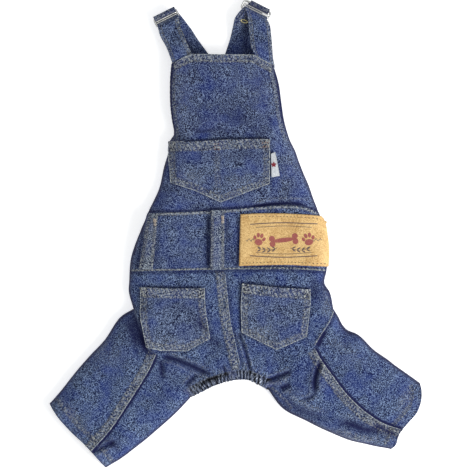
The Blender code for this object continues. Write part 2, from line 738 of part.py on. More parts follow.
def make_rear_strand(strap, finish, parent):
    """The strand round the slider's upper bar and down behind the bib to the under layer."""
    middle, wide, up = slider_frame(strap)
    half = strap_width(strap) / 2
    bar_left = middle - wide * half + up * BAR_REACH
    bar_right = middle + wide * half + up * BAR_REACH
    yoke = SHOULDERS[0].down
    foot_left = place(Mark(strap.rear_from, yoke)) + Vector((SEAM_GAP / 2, SEAM_GAP))
    foot_right = place(Mark(strap.rear_to, yoke)) + Vector((-SEAM_GAP / 2, SEAM_GAP))
    across = shares(4)
    rows = []
    path = [Turn(-WRAP, -SLIDER_WIRE / 2), *wrap_turns(180, -90, 9)]
    for turn in path:
        row = []
        for s in across:
            point = bar_left.lerp(bar_right, s) + up * turn.along
            row.append(Vector((point.x, point.y, SLIDER_HEIGHT + turn.up)))
        rows.append(row)
    low = STRAP_CLOTH / 2
    for t in shares(9)[1:]:
        row = []
        for s in across:
            start = bar_left.lerp(bar_right, s)
            end = foot_left.lerp(foot_right, s)
            bend = start - up * (start - end).length * 0.3
            point = start.lerp(bend, t).lerp(bend.lerp(end, t), t)
            height = low + (SLIDER_HEIGHT - WRAP - low) * (1 - ease(t * 4.5))
            row.append(Vector((point.x, point.y, height)))
        rows.append(row)
    ribbon(f"strap_rear_{strap.side}", rows, finish, parent)


def make_slider(strap, finish, parent):
    """A metal slide: a frame with a middle bar and a slot on each side of it."""
    middle, wide, up = slider_frame(strap)
    inner = strap_width(strap) / 2 + SEAM_GAP * 2
    outer = inner + SLIDER_WIRE
    xs = (-outer, -inner, inner, outer)
    bar = SLIDER_BAR / 2
    slot = bar + SLIDER_SLOT
    ys = (-slot - SLIDER_WIRE, -slot, -bar, bar, slot, slot + SLIDER_WIRE)
    bm = bmesh.new()
    verts = {}
    for i, x in enumerate(xs):
        for j, y in enumerate(ys):
            point = middle + wide * x + up * y
            verts[i, j] = bm.verts.new((point.x, point.y, SLIDER_HEIGHT))
    for i in range(3):
        for j in range(5):
            if i == 1 and j in (1, 3):
                continue
            bm.faces.new((verts[i, j], verts[i + 1, j], verts[i + 1, j + 1], verts[i, j + 1]))
    made = add_object(f"slider_{strap.side}", bm, finish, parent)
    solidify = made.modifiers.new("wall", "SOLIDIFY")
    solidify.thickness = SLIDER_WIRE
    solidify.offset = 0.0
    bevel = made.modifiers.new("round", "BEVEL")
    bevel.width = SLIDER_WIRE * 0.25
    bevel.segments = 2
    bevel.limit_method = "ANGLE"


def centre_on_origin(parent):
    """Moves the parent so that the part's middle stands at the origin in plan."""
    bpy.context.view_layer.update()
    graph = bpy.context.evaluated_depsgraph_get()
    low = Vector((math.inf, math.inf))
    high = Vector((-math.inf, -math.inf))
    for child in parent.children:
        shape = child.evaluated_get(graph)
        for vertex in shape.data.vertices:
            for k in range(2):
                low[k] = min(low[k], vertex.co[k])
                high[k] = max(high[k], vertex.co[k])
    parent.location = (-(low.x + high.x) / 2, -(low.y + high.y) / 2, 0.0)


def main():
    """Builds the overalls."""
    for old in list(bpy.data.objects):
        bpy.data.objects.remove(old)
    parent = bpy.data.objects.new("overalls", None)
    bpy.context.scene.collection.objects.link(parent)
    denim = material("denim", (0.10, 0.15, 0.30), 0.85)
    dark_denim = material("denim_band", (0.09, 0.13, 0.27), 0.85)
    leather = material("tan_leather", (0.62, 0.42, 0.20), 0.6)
    woven = material("white_woven", (0.82, 0.82, 0.80), 0.8)
    metal = material("nickel", (0.72, 0.72, 0.72), 0.3, 1.0)
    make_bib(denim, parent)
    make_waistband(dark_denim, parent)
    make_seat(LEGS[0], 1, denim, parent)
    make_seat(LEGS[1], 2, denim, parent)
    make_belly(denim, parent)
    for leg in LEGS:
        make_leg(leg, denim, parent)
    make_tail_hem(dark_denim, parent)
    for pocket in POCKETS:
        make_pocket(pocket, denim, parent)
    for loop in LOOPS:
        make_loop(loop, dark_denim, parent)
    make_patch(leather, parent)
    make_tab(woven, parent)
    for strap in STRAPS:
        make_front_strand(strap, denim, parent)
        make_rear_strand(strap, denim, parent)
        make_slider(strap, metal, parent)
    centre_on_origin(parent)


main()
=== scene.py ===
"""Looks of a pair of denim pet overalls lying flat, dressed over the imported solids.

Plan marks are in drawing units of 0.75 mm, across to the right and down the sheet. Two surface
rules give the height of the upper and the under cloth at any mark, and every piece is laid on them.
"""

from __future__ import annotations

import logging
import math
from dataclasses import dataclass, field
from enum import Enum
from typing import Iterable, Protocol, Sequence

import bpy
import numpy as np
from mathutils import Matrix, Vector


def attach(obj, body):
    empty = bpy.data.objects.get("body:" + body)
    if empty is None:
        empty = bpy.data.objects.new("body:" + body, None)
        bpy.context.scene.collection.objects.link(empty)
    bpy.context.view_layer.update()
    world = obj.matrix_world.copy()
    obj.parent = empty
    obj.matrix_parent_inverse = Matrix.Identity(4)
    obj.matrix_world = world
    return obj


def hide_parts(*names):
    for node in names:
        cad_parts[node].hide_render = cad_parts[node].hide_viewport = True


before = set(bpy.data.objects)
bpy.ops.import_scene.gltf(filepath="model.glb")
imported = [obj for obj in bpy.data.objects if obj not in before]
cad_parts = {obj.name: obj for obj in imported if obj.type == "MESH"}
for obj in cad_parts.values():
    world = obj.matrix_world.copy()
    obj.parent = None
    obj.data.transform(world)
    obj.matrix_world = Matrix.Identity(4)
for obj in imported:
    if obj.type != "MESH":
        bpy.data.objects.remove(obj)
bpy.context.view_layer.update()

LOG = logging.getLogger("overalls")
Array = np.ndarray
Mark = tuple[float, float]
Marks = tuple[Mark, ...]
Rgb = tuple[int, int, int]
Socket = bpy.types.NodeSocket

# Metres of a drawing unit across and down, the mark that the plan is measured from, and its place.
UNIT, ROW = 0.00075, 0.244 / 325
ORIGIN = (228, 55)
SHIFT = (-0.005031, 0.134405)

# How far inside a hem's folded edge its row of stitches lies.
ROW_INSET = 0.0007

# Step of a cloth grid in metres, and the places of its first columns at an edge that rolls over.
PITCH = 0.0008
EDGE_STEPS = (0.0, 0.0001, 0.0003, 0.0006, 0.001, 0.0015, 0.0021, 0.0028, 0.0036, 0.0045)

# Shade where the cloth rolls off at the garment's edge, and its width in metres.
EDGE_DARK, EDGE_WIDTH = 2.0, 0.0016

# The garment's outline and seams in drawing units, from the same measures as the solids.
SIDE_LEFT = ((170.6, 84.9), (170.4, 103.1), (172.0, 120.0), (173.9, 134.0), (168.2, 142.1),
             (168.0, 151.9), (163.5, 167.1), (159.5, 186.0), (153.6, 200.0), (147.0, 213.9),
             (142.5, 225.0), (135.5, 241.9), (130.6, 257.2), (129.0, 271.1), (128.8, 283.2),
             (129.0, 292.9), (133.0, 309.1))
SIDE_RIGHT = ((278.7, 84.9), (281.7, 103.1), (284.0, 120.0), (288.0, 134.0), (290.8, 142.1),
              (295.5, 151.9), (301.5, 167.1), (309.0, 186.0), (313.9, 200.0), (319.5, 213.9),
              (324.0, 225.0), (327.6, 241.9), (327.8, 257.2), (327.0, 271.1), (324.8, 283.2),
              (330.6, 292.9), (333.9, 309.1))
WAIST_TOP_ROW = 10
WAIST_LOW_ROW = 14
BIB_TOP = ((172.2, 63.5), (191.0, 54.4), (253.9, 55.3), (274.3, 66.1))
WAIST_TOP = ((147.0, 213.9), (211.0, 211.3), (290.0, 205.8), (319.5, 213.9))
WAIST_LOW = ((129.0, 271.1), (278.1, 268.5), (327.0, 271.1))
CENTRE_SEAM = ((224.4, 269.5), (230.0, 320.0), (238.1, 369.0))
GROIN_LEFT = ((133.0, 309.1), (139.5, 330.0), (148.0, 350.1), (167.0, 370.9), (190.0, 397.9))
GROIN_RIGHT = ((333.9, 309.1), (326.0, 329.0), (313.9, 345.9), (295.9, 364.1), (268.0, 390.1))
TAIL_LINE = ((190.0, 397.9), (208.0, 388.1), (226.0, 381.0), (242.1, 379.0), (250.0, 380.0),
             (259.1, 384.6), (268.0, 390.1))
TAIL_SEAM_LEFT = ((204.0, 378.4), (226.0, 371.6))
TAIL_SEAM_RIGHT = ((250.0, 369.9), (262.1, 375.1))
LEG_LEFT_OUTER = ((133.0, 309.1), (118.0, 319.0), (104.0, 340.0), (88.9, 356.0), (74.9, 372.5),
                  (61.0, 389.9), (48.9, 403.9))
LEG_LEFT_INNER = ((190.0, 397.9), (177.0, 411.5), (162.9, 425.0), (147.9, 438.5), (133.9, 449.5),
                  (119.9, 459.9), (105.7, 468.4))
LEG_RIGHT_OUTER = ((333.9, 309.1), (346.0, 328.6), (359.0, 335.1), (375.0, 351.2), (390.0, 361.6),
                   (405.0, 372.1), (420.5, 383.1))
LEG_RIGHT_INNER = ((268.0, 390.1), (282.0, 408.1), (300.0, 418.5), (324.0, 430.0), (347.9, 439.5),
                   (370.0, 446.1), (391.0, 450.0))
SHOULDER_LEFT = ((189.0, 68.0), (184.0, 84.9), (179.1, 103.1), (176.9, 120.0), (175.9, 134.0))
SHOULDER_RIGHT = ((245.0, 68.0), (258.1, 84.9), (270.0, 103.1), (279.1, 120.0), (286.0, 134.0))


def spot(mark: Mark | Array) -> tuple[float, float]:
    """Plan place in metres of a mark in drawing units."""
    return (mark[0] - ORIGIN[0]) * UNIT + SHIFT[0], (ORIGIN[1] - mark[1]) * ROW + SHIFT[1]


def row_of(points: Array) -> Array:
    """How far down the sheet plan points lie, in drawing units."""
    return ORIGIN[1] - (points[:, 1] - SHIFT[1]) / ROW


def ease(value: Array) -> Array:
    """Smooth step from 0 to 1."""
    value = np.clip(value, 0.0, 1.0)
    return value * value * (3 - 2 * value)


def tapered(share: Array, ends: float) -> Array:
    """Rise over the first share of a run and the same fall over its last one."""
    return ease(share / ends) * ease((1 - share) / ends)


def hump(value: Array, width: float) -> Array:
    """Bell curve that is 1 at zero and has fallen to 0.37 at its width."""
    return np.exp(-(value / width) ** 2)


def arc(value: Array) -> Array:
    """Height of a half circle over values from -1 to 1."""
    return np.sqrt(np.maximum(0.0, 1 - value ** 2))


def quarter(distance: Array, run: float) -> Array:
    """Rise of a quarter ellipse, from 0 at its foot to 1 at its run."""
    return arc(1 - np.minimum(distance, run) / run)


def left_of(heading: Array) -> Array:
    """Directions to the left of plan headings."""
    return np.stack((-heading[:, 1], heading[:, 0]), axis=-1)


def turned(x: Array | float, y: Array | float, turn_deg: float) -> tuple:
    """Two coordinates read along axes that are turned to the left by an angle."""
    turn = math.radians(turn_deg)
    return x * math.cos(turn) + y * math.sin(turn), y * math.cos(turn) - x * math.sin(turn)


@dataclass(frozen=True)
class Near:
    """How some plan points lie to a line: distance, run along it, signed distance and direction."""

    distance: Array
    run: Array
    signed: Array
    away: Array


class Line:
    """A line through plan points, read by shares of its length."""

    def __init__(self, points: Array) -> None:
        """Keeps the points.

        Args:
            points: plan points in metres, one row each.
        """
        self.points = np.asarray(points, dtype=float)
        steps = np.hypot(*np.diff(self.points, axis=0).T)
        self.runs = np.concatenate(([0.0], np.cumsum(steps)))
        self.length = float(self.runs[-1])

    @classmethod
    def drawn(cls, marks: Sequence[Mark], bends: int = 1) -> Line:
        """Line through marks in drawing units.

        Args:
            marks: the marks in order.
            bends: steps of a smooth curve between two marks, or 1 for straight runs.

        Returns:
            The line in metres.
        """
        points = np.array([spot(mark) for mark in marks])
        if bends == 1 or len(points) < 3:
            return cls(points)
        ends = np.vstack((2 * points[0] - points[1], points, 2 * points[-1] - points[-2]))
        rows = [points[:1]]
        for k in range(1, len(points)):
            a, b, c, d = ends[k - 1:k + 3]
            t = np.linspace(0, 1, bends + 1)[1:, None]
            rows.append(0.5 * (2 * b + (c - a) * t + (2 * a - 5 * b + 4 * c - d) * t ** 2
                               + (3 * b - 3 * c + d - a) * t ** 3))
        return cls(np.vstack(rows))

    def at(self, shares: Array) -> Array:
        """Points at shares of the line's length."""
        run = np.clip(shares, 0.0, 1.0) * self.length
        return np.stack([np.interp(run, self.runs, self.points[:, k]) for k in (0, 1)], axis=-1)

    def heading(self, shares: Array) -> Array:
        """Unit headings at shares of the line's length."""
        step = 0.0004 / self.length
        run = self.at(np.minimum(shares + step, 1)) - self.at(np.maximum(shares - step, 0))
        return run / np.linalg.norm(run, axis=-1, keepdims=True)

    def joined(self, *others: Line) -> Line:
        """This line followed by others, without doubled points."""
        rows = [self.points]
        for other in others:
            skip = 1 if np.hypot(*(rows[-1][-1] - other.points[0])) < 1e-6 else 0
            rows.append(other.points[skip:])
        return Line(np.vstack(rows))

    def part(self, start: float, end: float) -> Line:
        """The stretch between two shares of the length.

        Args:
            start: share where it starts.
            end: share where it ends.

        Returns:
            The stretch, as a line of its own.
        """
        runs = self.runs / self.length
        inner = self.points[(runs > start + 1e-6) & (runs < end - 1e-6)]
        return Line(np.vstack((self.at(np.array([start])), inner, self.at(np.array([end])))))

    def back(self) -> Line:
        """The same line read from its other end."""
        return Line(self.points[::-1])

    def beside(self, offset: float) -> Line:
        """A line at a distance to the left of this one's heading."""
        return Line(self.points + offset * left_of(self.heading(self.runs / self.length)))

    def moved(self, offset: Sequence[float]) -> Line:
        """The line moved in plan by metres."""
        return Line(self.points + np.asarray(offset))

    def within(self, near: Near) -> Array:
        """1 for points beside the line, and 0 for those past its ends."""
        return np.where((near.run > 1e-6) & (near.run < self.length - 1e-6), 1.0, 0.0)

    def near(self, points: Array) -> Near:
        """How plan points lie to the line.

        Args:
            points: plan points, one row each.

        Returns:
            Distances, runs along the line, distances signed plus to the left of the heading, and
            unit directions away from the line.
        """
        count = len(points)
        best = np.full(count, np.inf)
        run = np.zeros(count)
        signed = np.zeros(count)
        away = np.zeros((count, 2))
        for k in range(len(self.points) - 1):
            start, step = self.points[k], self.points[k + 1] - self.points[k]
            long = math.hypot(*step)
            left = np.array((-step[1], step[0])) / long
            share = np.clip((points - start) @ step / long ** 2, 0.0, 1.0)
            gap = points - start - share[:, None] * step
            distance = np.hypot(gap[:, 0], gap[:, 1])
            closer = distance < best
            best[closer] = distance[closer]
            run[closer] = self.runs[k] + share[closer] * long
            side = np.where(gap[closer] @ left < 0, -1.0, 1.0)
            signed[closer] = distance[closer] * side
            far = distance[closer] > 1e-5
            unit = gap[closer] / np.maximum(distance[closer], 1e-9)[:, None]
            away[closer] = np.where(far[:, None], unit, left * side[:, None])
        return Near(best, run, signed, away)


def grid(left: Line, right: Line, top: Line, bottom: Line, across: Array, down: Array) -> Array:
    """Plan points of an area between four lines.

    Args:
        left: line down the area's first side.
        right: line down its last side.
        top: line across its top, which sets the upper corners.
        bottom: line across its bottom, which sets the lower corners.
        across: shares across.
        down: shares down.

    Returns:
        Points by row down and column across.
    """
    t = down[:, None, None]
    plain = top.at(across)[None] * (1 - t) + bottom.at(across)[None] * t
    bows = []
    for side in (left, right):
        straight = side.points[0] * (1 - down[:, None]) + side.points[-1] * down[:, None]
        bows.append(side.at(down) - straight)
    s = across[None, :, None]
    return plain + bows[0][:, None] * (1 - s) + bows[1][:, None] * s


def spread(width: float, pitch: float = PITCH, start: bool = False, end: bool = False) -> Array:
    """Shares across a width, closer together at edges that roll over.

    Args:
        width: the width in metres.
        pitch: even step away from the edges.
        start: whether the first edge rolls over.
        end: whether the last edge rolls over.

    Returns:
        Shares from 0 to 1.
    """
    first = np.array(EDGE_STEPS if start else (0.0,)) / width
    last = 1 - np.array(EDGE_STEPS if end else (0.0,))[::-1] / width
    count = max(2, round((last[0] - first[-1]) * width / pitch))
    return np.concatenate((first, np.linspace(first[-1], last[0], count + 1)[1:-1], last))


@dataclass
class Relief:
    """Height above a piece's plain surface, and how much paler and darker its colour is painted there: wear
    and painted highlights, uneven dye and painted shade.
    """

    height: Array
    fade: Array
    dark: Array

    @classmethod
    def plain(cls, count: int) -> Relief:
        """No relief at all for a number of points."""
        return cls(np.zeros(count), np.zeros(count), np.zeros(count))

    def below_first(self, rows: int) -> Relief:
        """The relief of all but the first of a grid's rows."""
        return Relief(*(v.reshape(rows, -1)[1:].reshape(-1) for v in (self.height, self.fade, self.dark)))


class Feature(Protocol):
    """Anything that adds to the relief of a piece."""

    def add(self, points: Array, relief: Relief) -> None:
        """Adds its height and tint.

        Args:
            points: plan points, one row each.
            relief: the relief there, which it changes.
        """


@dataclass(frozen=True)
class Crease:
    """A pressed-in line, or a raised one where its depth is below zero. Its dark paints the line darker:
    painted shade in the cloth's creases and beside raised parts, and the rubbed edge colour on the leather
    patch. Raised ones are painted paler, through their fade and in places a negative dark, as a painted
    highlight; so is the lip, a raised rim beside a deep crease.
    """

    line: Line
    depth: float
    width: float
    dark: float = 0.0
    fade: float = 0.0
    ends: float = 0.25
    lip: float = 0.0

    def add(self, points: Array, relief: Relief) -> None:
        """Adds its height and tint.

        Args:
            points: plan points, one row each.
            relief: the relief there, which it changes.
        """
        near = self.line.near(points)
        taper = tapered(near.run / self.line.length, self.ends)
        shape = hump(near.distance, self.width) * taper
        beside = hump(near.distance / self.width - 2.0, 0.7) * taper
        relief.height += self.depth * (0.3 * min(1.0, self.lip * 4) * beside - shape)
        relief.dark += self.dark * shape
        relief.fade += self.fade * shape + self.lip * beside


@dataclass(frozen=True)
class Overlap:
    """Cloth on a line's left that lies above the cloth on its right, with a painted shadow on the lower cloth
    along the line and a paler edge on the upper one.
    """

    line: Line
    height: float
    width: float = 0.0008
    reach: float = 0.008
    dark: float = 0.6
    fade: float = 0.3
    ends: float = 0.12

    def add(self, points: Array, relief: Relief) -> None:
        """Adds its height and tint.

        Args:
            points: plan points, one row each.
            relief: the relief there, which it changes.
        """
        near = self.line.near(points)
        taper = tapered(near.run / self.line.length, self.ends)
        over = ease(near.signed / self.width + 0.5)
        relief.height += self.height * over * np.exp(-np.maximum(near.signed, 0) / self.reach) * taper
        relief.dark += self.dark * hump(near.signed + self.width * 1.1, self.width * 1.4) * taper
        relief.fade += self.fade * hump(near.signed - self.width * 0.7, self.width * 0.7) * taper


@dataclass(frozen=True)
class Band:
    """A folded hem or felled seam: a raised strip on a line's left, roped and worn. Its rope's hollows are
    painted darker as shade, and a painted shadow lies just past its far edge.
    """

    line: Line
    start: float
    end: float
    height: float = 0.0004
    soft: float = 0.0006
    rope: float = 0.00022
    period: float = 0.0034
    fade: float = 0.45
    lip: float = 0.5
    lip_at: float | None = None
    finish: float = 0.0

    def add(self, points: Array, relief: Relief) -> None:
        """Adds its height and tint.

        Args:
            points: plan points, one row each.
            relief: the relief there, which it changes.
        """
        near = self.line.near(points)
        inside = self.line.within(near)
        strip = ease((near.signed - self.start) / self.soft + 0.5) * inside
        strip *= ease((self.end - near.signed) / self.soft + 0.5)
        if self.finish > 0:
            strip *= ease((self.line.length - near.run) / self.finish)
        slant = near.run + 0.5 * near.signed
        wave = np.sin(slant * math.tau / self.period + 1.4 * np.sin(slant * 180.0))
        middle = (near.signed - self.start) / (self.end - self.start)
        edges = 0.45 + 0.55 * np.clip(np.abs(2 * middle - 1), 0, 1) ** 2
        relief.height += strip * (self.height + self.rope * wave * edges)
        relief.fade += strip * self.fade * (0.75 + 0.45 * wave * edges)
        relief.dark += strip * 0.30 * np.maximum(-wave, 0) * edges
        lip_at = self.start if self.lip_at is None else self.lip_at
        relief.fade += self.lip * hump(near.signed - lip_at, 0.00045) * inside
        relief.dark += 0.22 * hump(near.signed - self.end - 0.0004, 0.0006) * inside


@dataclass(frozen=True)
class Groove:
    """The line that a row of stitches pulls down, with small puckers beside it. It is painted darker where it
    dips deepest, as painted shade, and paler between.
    """

    line: Line
    depth: float = 0.00025
    width: float = 0.0006
    period: float = 0.0024
    dark: float = 0.35

    def add(self, points: Array, relief: Relief) -> None:
        """Adds its height and tint.

        Args:
            points: plan points, one row each.
            relief: the relief there, which it changes.
        """
        near = self.line.near(points)
        shape = hump(near.distance, self.width) * self.line.within(near)
        beat = np.cos(near.run * math.tau / self.period)
        relief.height -= self.depth * shape * (0.6 + 0.4 * beat)
        relief.dark += self.dark * shape * np.maximum(beat, -0.1) * 1.9
        relief.fade += self.dark * shape * np.maximum(-beat, 0) * 1.1


@dataclass(frozen=True)
class Gathers:
    """Small folds square to an elastic line, dying out away from it, painted paler on their crests as a
    painted highlight and darker in their troughs as painted shade.
    """

    line: Line
    height: float
    period: float
    reach: float
    # How strongly the crests are painted as light and the troughs as shade.
    tint: float = 0.5
    calm: float = 0.0
    lean: float = 0.0

    def add(self, points: Array, relief: Relief) -> None:
        """Adds its height and tint.

        Args:
            points: plan points, one row each.
            relief: the relief there, which it changes.
        """
        near = self.line.near(points)
        share = near.run / self.line.length
        lean = self.lean * near.signed * np.sin(near.run * 150.0)
        phase = (near.run + lean) * math.tau / self.period
        wave = np.sin(phase + 1.5 * np.sin(near.run * 410.0 + 0.6) + 0.9 * np.sin(near.run * 960.0))
        wave = np.sign(wave) * np.abs(wave) ** 0.6
        calm = 1 - self.calm * hump(share - 0.6, 0.13) - 0.25 * np.sin(near.run * 230.0) ** 2
        size = np.exp(-np.abs(near.signed) / self.reach) * tapered(share, 1 / 12) * calm
        relief.height += self.height * wave * size
        relief.fade += self.tint * np.maximum(wave, 0) * size
        relief.dark += self.tint * 1.2 * np.maximum(-wave, 0) * size


@dataclass(frozen=True)
class Blotch:
    """A soft patch painted darker or paler: uneven dye in some places, and painted shade in others, in dips
    and beside folds and overlaps.
    """

    mark: Mark
    across: float
    down: float
    dark: float = 0.0
    fade: float = 0.0
    turn_deg: float = 0.0

    def add(self, points: Array, relief: Relief) -> None:
        """Adds its tint.

        Args:
            points: plan points, one row each.
            relief: the relief there, which it changes.
        """
        gap = points - np.array(spot(self.mark))
        x, y = turned(gap[:, 0], gap[:, 1], self.turn_deg)
        shape = hump(x, self.across) * hump(y, self.down)
        relief.dark += self.dark * shape
        relief.fade += self.fade * shape


def crease(marks: Marks, depth_mm: float, width_mm: float, dark: float = 0.4,
           fade: float = 0.0, ends: float = 0.25) -> Crease:
    """A crease through marks, with its sizes in millimetres; a deep one gets a raised lip painted paler, as a
    painted highlight.
    """
    lip = 0.22 if depth_mm >= 1.0 else 0.0
    return Crease(Line.drawn(marks, 4), depth_mm / 1000, width_mm / 1000, dark, fade, ends, lip)


@dataclass(frozen=True)
class Edge:
    """An edge of the garment in plan, and the side of its heading that the cloth lies on."""

    line: Line
    inside: int


@dataclass(frozen=True)
class Lie:
    """How the garment lies: the upper cloth is a low pillow over the flat under cloth."""

    edges: tuple[Edge, ...]
    folds: tuple[Feature, ...]
    crown: float = 0.0125
    side: float = 0.003
    shoulder: float = 0.016
    gape: float = 0.006
    arm_full: float = 116.8
    arm_foot: float = 134.0
    arm_bottom: float = 142.1

    def nearest(self, points: Array) -> tuple[Array, Array]:
        """Where plan points lie from the garment's edge.

        Args:
            points: plan points, one row each.

        Returns:
            Their distances to the edge, and unit directions from it towards the cloth.
        """
        best = np.full(len(points), np.inf)
        inward = np.zeros((len(points), 2))
        for edge in self.edges:
            near = edge.line.near(points)
            closer = near.distance < best
            best[closer] = near.distance[closer]
            side = np.sign(near.signed[closer]) * edge.inside
            inward[closer] = near.away[closer] * side[:, None]
        return best, inward

    def joined(self, points: Array) -> Array:
        """0 where the arm openings part the two layers, and 1 below them."""
        return ease((row_of(points) - self.arm_foot) / (self.arm_bottom - self.arm_foot))

    def foot(self, points: Array) -> Array:
        """Height of the upper cloth's side edge: it gapes at the arm openings."""
        gape = (self.arm_bottom - row_of(points)) / (self.arm_bottom - self.arm_full)
        return self.side + self.gape * ease(gape)

    def swell(self, points: Array) -> Relief:
        """Soft waves and main folds, which every layer above follows too."""
        relief = Relief.plain(len(points))
        x, y = points[:, 0] * 1000, points[:, 1] * 1000
        waves = np.sin(x * 0.11 + y * 0.05 + 0.7) + np.sin(y * 0.13 - x * 0.07 + 2.1)
        relief.height += 0.00022 * (waves + 0.6 * np.sin(x * 0.21 - y * 0.19 + 4.0))
        for fold in self.folds:
            fold.add(points, relief)
        return relief

    def upper(self, points: Array, lift: Array | float) -> Array:
        """Places at a distance outside the upper cloth, measured square to it.

        Args:
            points: plan points, one row each.
            lift: distance in metres outside the cloth's face.

        Returns:
            Places in metres, one row each.
        """
        distance, inward = self.nearest(points)
        foot = self.foot(points)
        rise = quarter(distance, self.shoulder)
        height = foot + (self.crown - foot) * rise
        slope = (self.crown - foot) * (1 - np.minimum(distance, self.shoulder) / self.shoulder)
        slope = slope / (self.shoulder * np.maximum(rise, 1e-4))
        out = np.column_stack((-inward * slope[:, None], np.ones(len(points))))
        out /= np.linalg.norm(out, axis=1, keepdims=True)
        place = np.column_stack((points, height))
        return place + out * (np.asarray(lift) + self.swell(points).height)[:, None]

    def under(self, points: Array, lift: Array | float = 0.0) -> Array:
        """Places on the under cloth's outer face, which curls up at the garment's folds.

        Args:
            points: plan points, one row each.
            lift: height in metres to add.

        Returns:
            Places in metres, one row each.
        """
        distance = self.nearest(points)[0]
        height = self.side * self.joined(points) * (1 - quarter(distance, self.side)) + lift
        return np.column_stack((points, height))


# Steps of the smooth curve between two marks of the garment's outline and waist lines.
BENDS = 4
BODY_LEFT = Line.drawn((BIB_TOP[0], *SIDE_LEFT), BENDS)
BODY_RIGHT = Line.drawn((BIB_TOP[3], *SIDE_RIGHT), BENDS)
OUTER_LEFT = Line.drawn(LEG_LEFT_OUTER, BENDS)
OUTER_RIGHT = Line.drawn(LEG_RIGHT_OUTER, BENDS)
INNER_LEFT = Line.drawn(LEG_LEFT_INNER, BENDS)
INNER_RIGHT = Line.drawn(LEG_RIGHT_INNER, BENDS)
TOP_HEM = Line.drawn(BIB_TOP).back()
BAND_TOP = Line.drawn(WAIST_TOP, BENDS)
BAND_LOW = Line.drawn(WAIST_LOW, BENDS)

# The main folds: painted shadows beside the overlaps, painted shade in the creases, and raised creases
# painted paler as a highlight.
MAIN_FOLDS: tuple[Feature, ...] = (
    Overlap(Line.drawn(((133, 309), (138, 320), (145, 340), (148, 349), (158, 353)), 3), 0.0022,
            0.0014, 0.012, 1.1, 0.2),
    Overlap(Line.drawn(((313, 348), (319, 338), (324.4, 329.5), (330, 320), (334, 309)), 3), 0.0022,
            0.0010, 0.012, 1.1, 0.3),
    crease(((127, 316), (133, 330), (139, 346)), 0.8, 4.0, 0.6),
    crease(((158, 355), (172, 358), (188, 364), (203, 371), (213, 375)), 2.2, 1.7, 1.5, ends=0.18),
    crease(((162, 366), (176, 370), (192, 378)), -0.9, 3.0, -0.2, 0.05),
    crease(((159, 357), (161, 368), (163, 380)), 0.9, 2.2, 1.0),
    crease(((184, 387), (190, 380), (197, 373)), 1.2, 1.4, 0.9),
    crease(((198, 388), (206, 380), (216, 376)), 0.8, 1.2, 0.8),
    crease(((202, 384), (214, 378), (226, 373)), 0.7, 1.4, 0.6),
    crease(((264, 382), (276, 377), (292, 370)), 1.8, 1.5, 1.4, ends=0.15),
    crease(((272, 386), (280, 381), (290, 377)), -1.0, 2.0, -0.2, 0.10),
    crease(((278, 389), (284, 386.5), (291, 383.5)), 1.3, 1.8, 1.3),
    crease(((322, 357), (318, 367), (314.5, 380), (315, 396)), 1.8, 1.5, 1.5),
    crease(((325, 366), (322, 380), (324, 394)), -0.8, 3.0, -0.1, 0.08),
    crease(((300, 399), (309, 397), (316, 392)), 1.0, 1.1, 1.1),
    crease(((286, 396), (298, 392), (306, 384)), -0.6, 3.4, 0.0, 0.06),
    crease(((278, 393), (290, 404), (308, 414), (328, 420)), 1.2, 3.0, 0.75),
    crease(((335, 421), (350, 424), (366, 430), (382, 431)), 1.6, 3.0, 0.9),
    crease(((330, 428), (350, 436), (372, 442)), -0.6, 2.4, 0.0, 0.10),
    crease(((370, 422), (384, 429), (400, 437)), 1.3, 1.6, 1.0),
    crease(((386, 424), (394, 427), (402, 431)), 0.8, 1.0, 0.7),
    crease(((374, 424), (377, 432), (378, 446)), 0.6, 0.9, 0.3, 0.2),
    crease(((336, 318), (346, 332), (360, 340)), 0.5, 2.2, 0.35),
    crease(((330, 384), (345, 398), (358, 404)), 0.5, 2.6, 0.25),
    crease(((90, 453), (104, 446), (118, 440)), 1.5, 1.5, 1.0),
    crease(((104, 438), (112, 443), (122, 455)), 0.9, 2.2, 0.6),
    crease(((237, 330), (243, 345), (247, 358), (251, 375)), 1.4, 1.1, 1.1, ends=0.12),
    crease(((222, 363), (225, 371), (228, 378)), 1.0, 1.1, 1.0),
    crease(((186, 133), (200, 131), (222, 130), (240, 132)), 0.6, 2.8, 0.4),
    crease(((196, 124), (212, 121), (226, 121)), -0.4, 3.0, 0.0, 0.06),
    crease(((228, 252), (232, 260), (238, 268)), 0.6, 1.6, 0.5),
    crease(((208, 336), (214, 342), (222, 346)), 0.8, 2.4, 0.5),
    crease(((318, 272), (313, 284), (312, 300)), 0.7, 3.0, 0.35),
    crease(((255, 356), (272, 362), (290, 358)), 0.5, 3.2, 0.3),
    crease(((60, 398), (72, 412), (86, 430)), 0.3, 1.5, 0.25),
    crease(((112, 330), (104, 346), (92, 360)), -0.4, 2.5, 0.0, 0.08),
    crease(((130, 400), (150, 400), (170, 392)), 0.4, 3.4, 0.25),
)

LIE = Lie(
    edges=(
        Edge(BODY_LEFT.joined(OUTER_LEFT), 1),
        Edge(BODY_RIGHT.joined(OUTER_RIGHT), -1),
        Edge(INNER_LEFT, -1),
        Edge(INNER_RIGHT, 1),
    ),
    folds=MAIN_FOLDS,
)


class Slot(Enum):
    """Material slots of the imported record."""

    DENIM = "denim"
    LEATHER = "leather"
    WOVEN = "woven"
    NICKEL = "nickel"


def tone(colour: Rgb) -> tuple[float, float, float, float]:
    """Linear colour of an eight-bit display colour."""
    shares = [value / 255 for value in colour]
    linear = [v / 12.92 if v <= 0.04045 else ((v + 0.055) / 1.055) ** 2.4 for v in shares]
    return *linear, 1.0


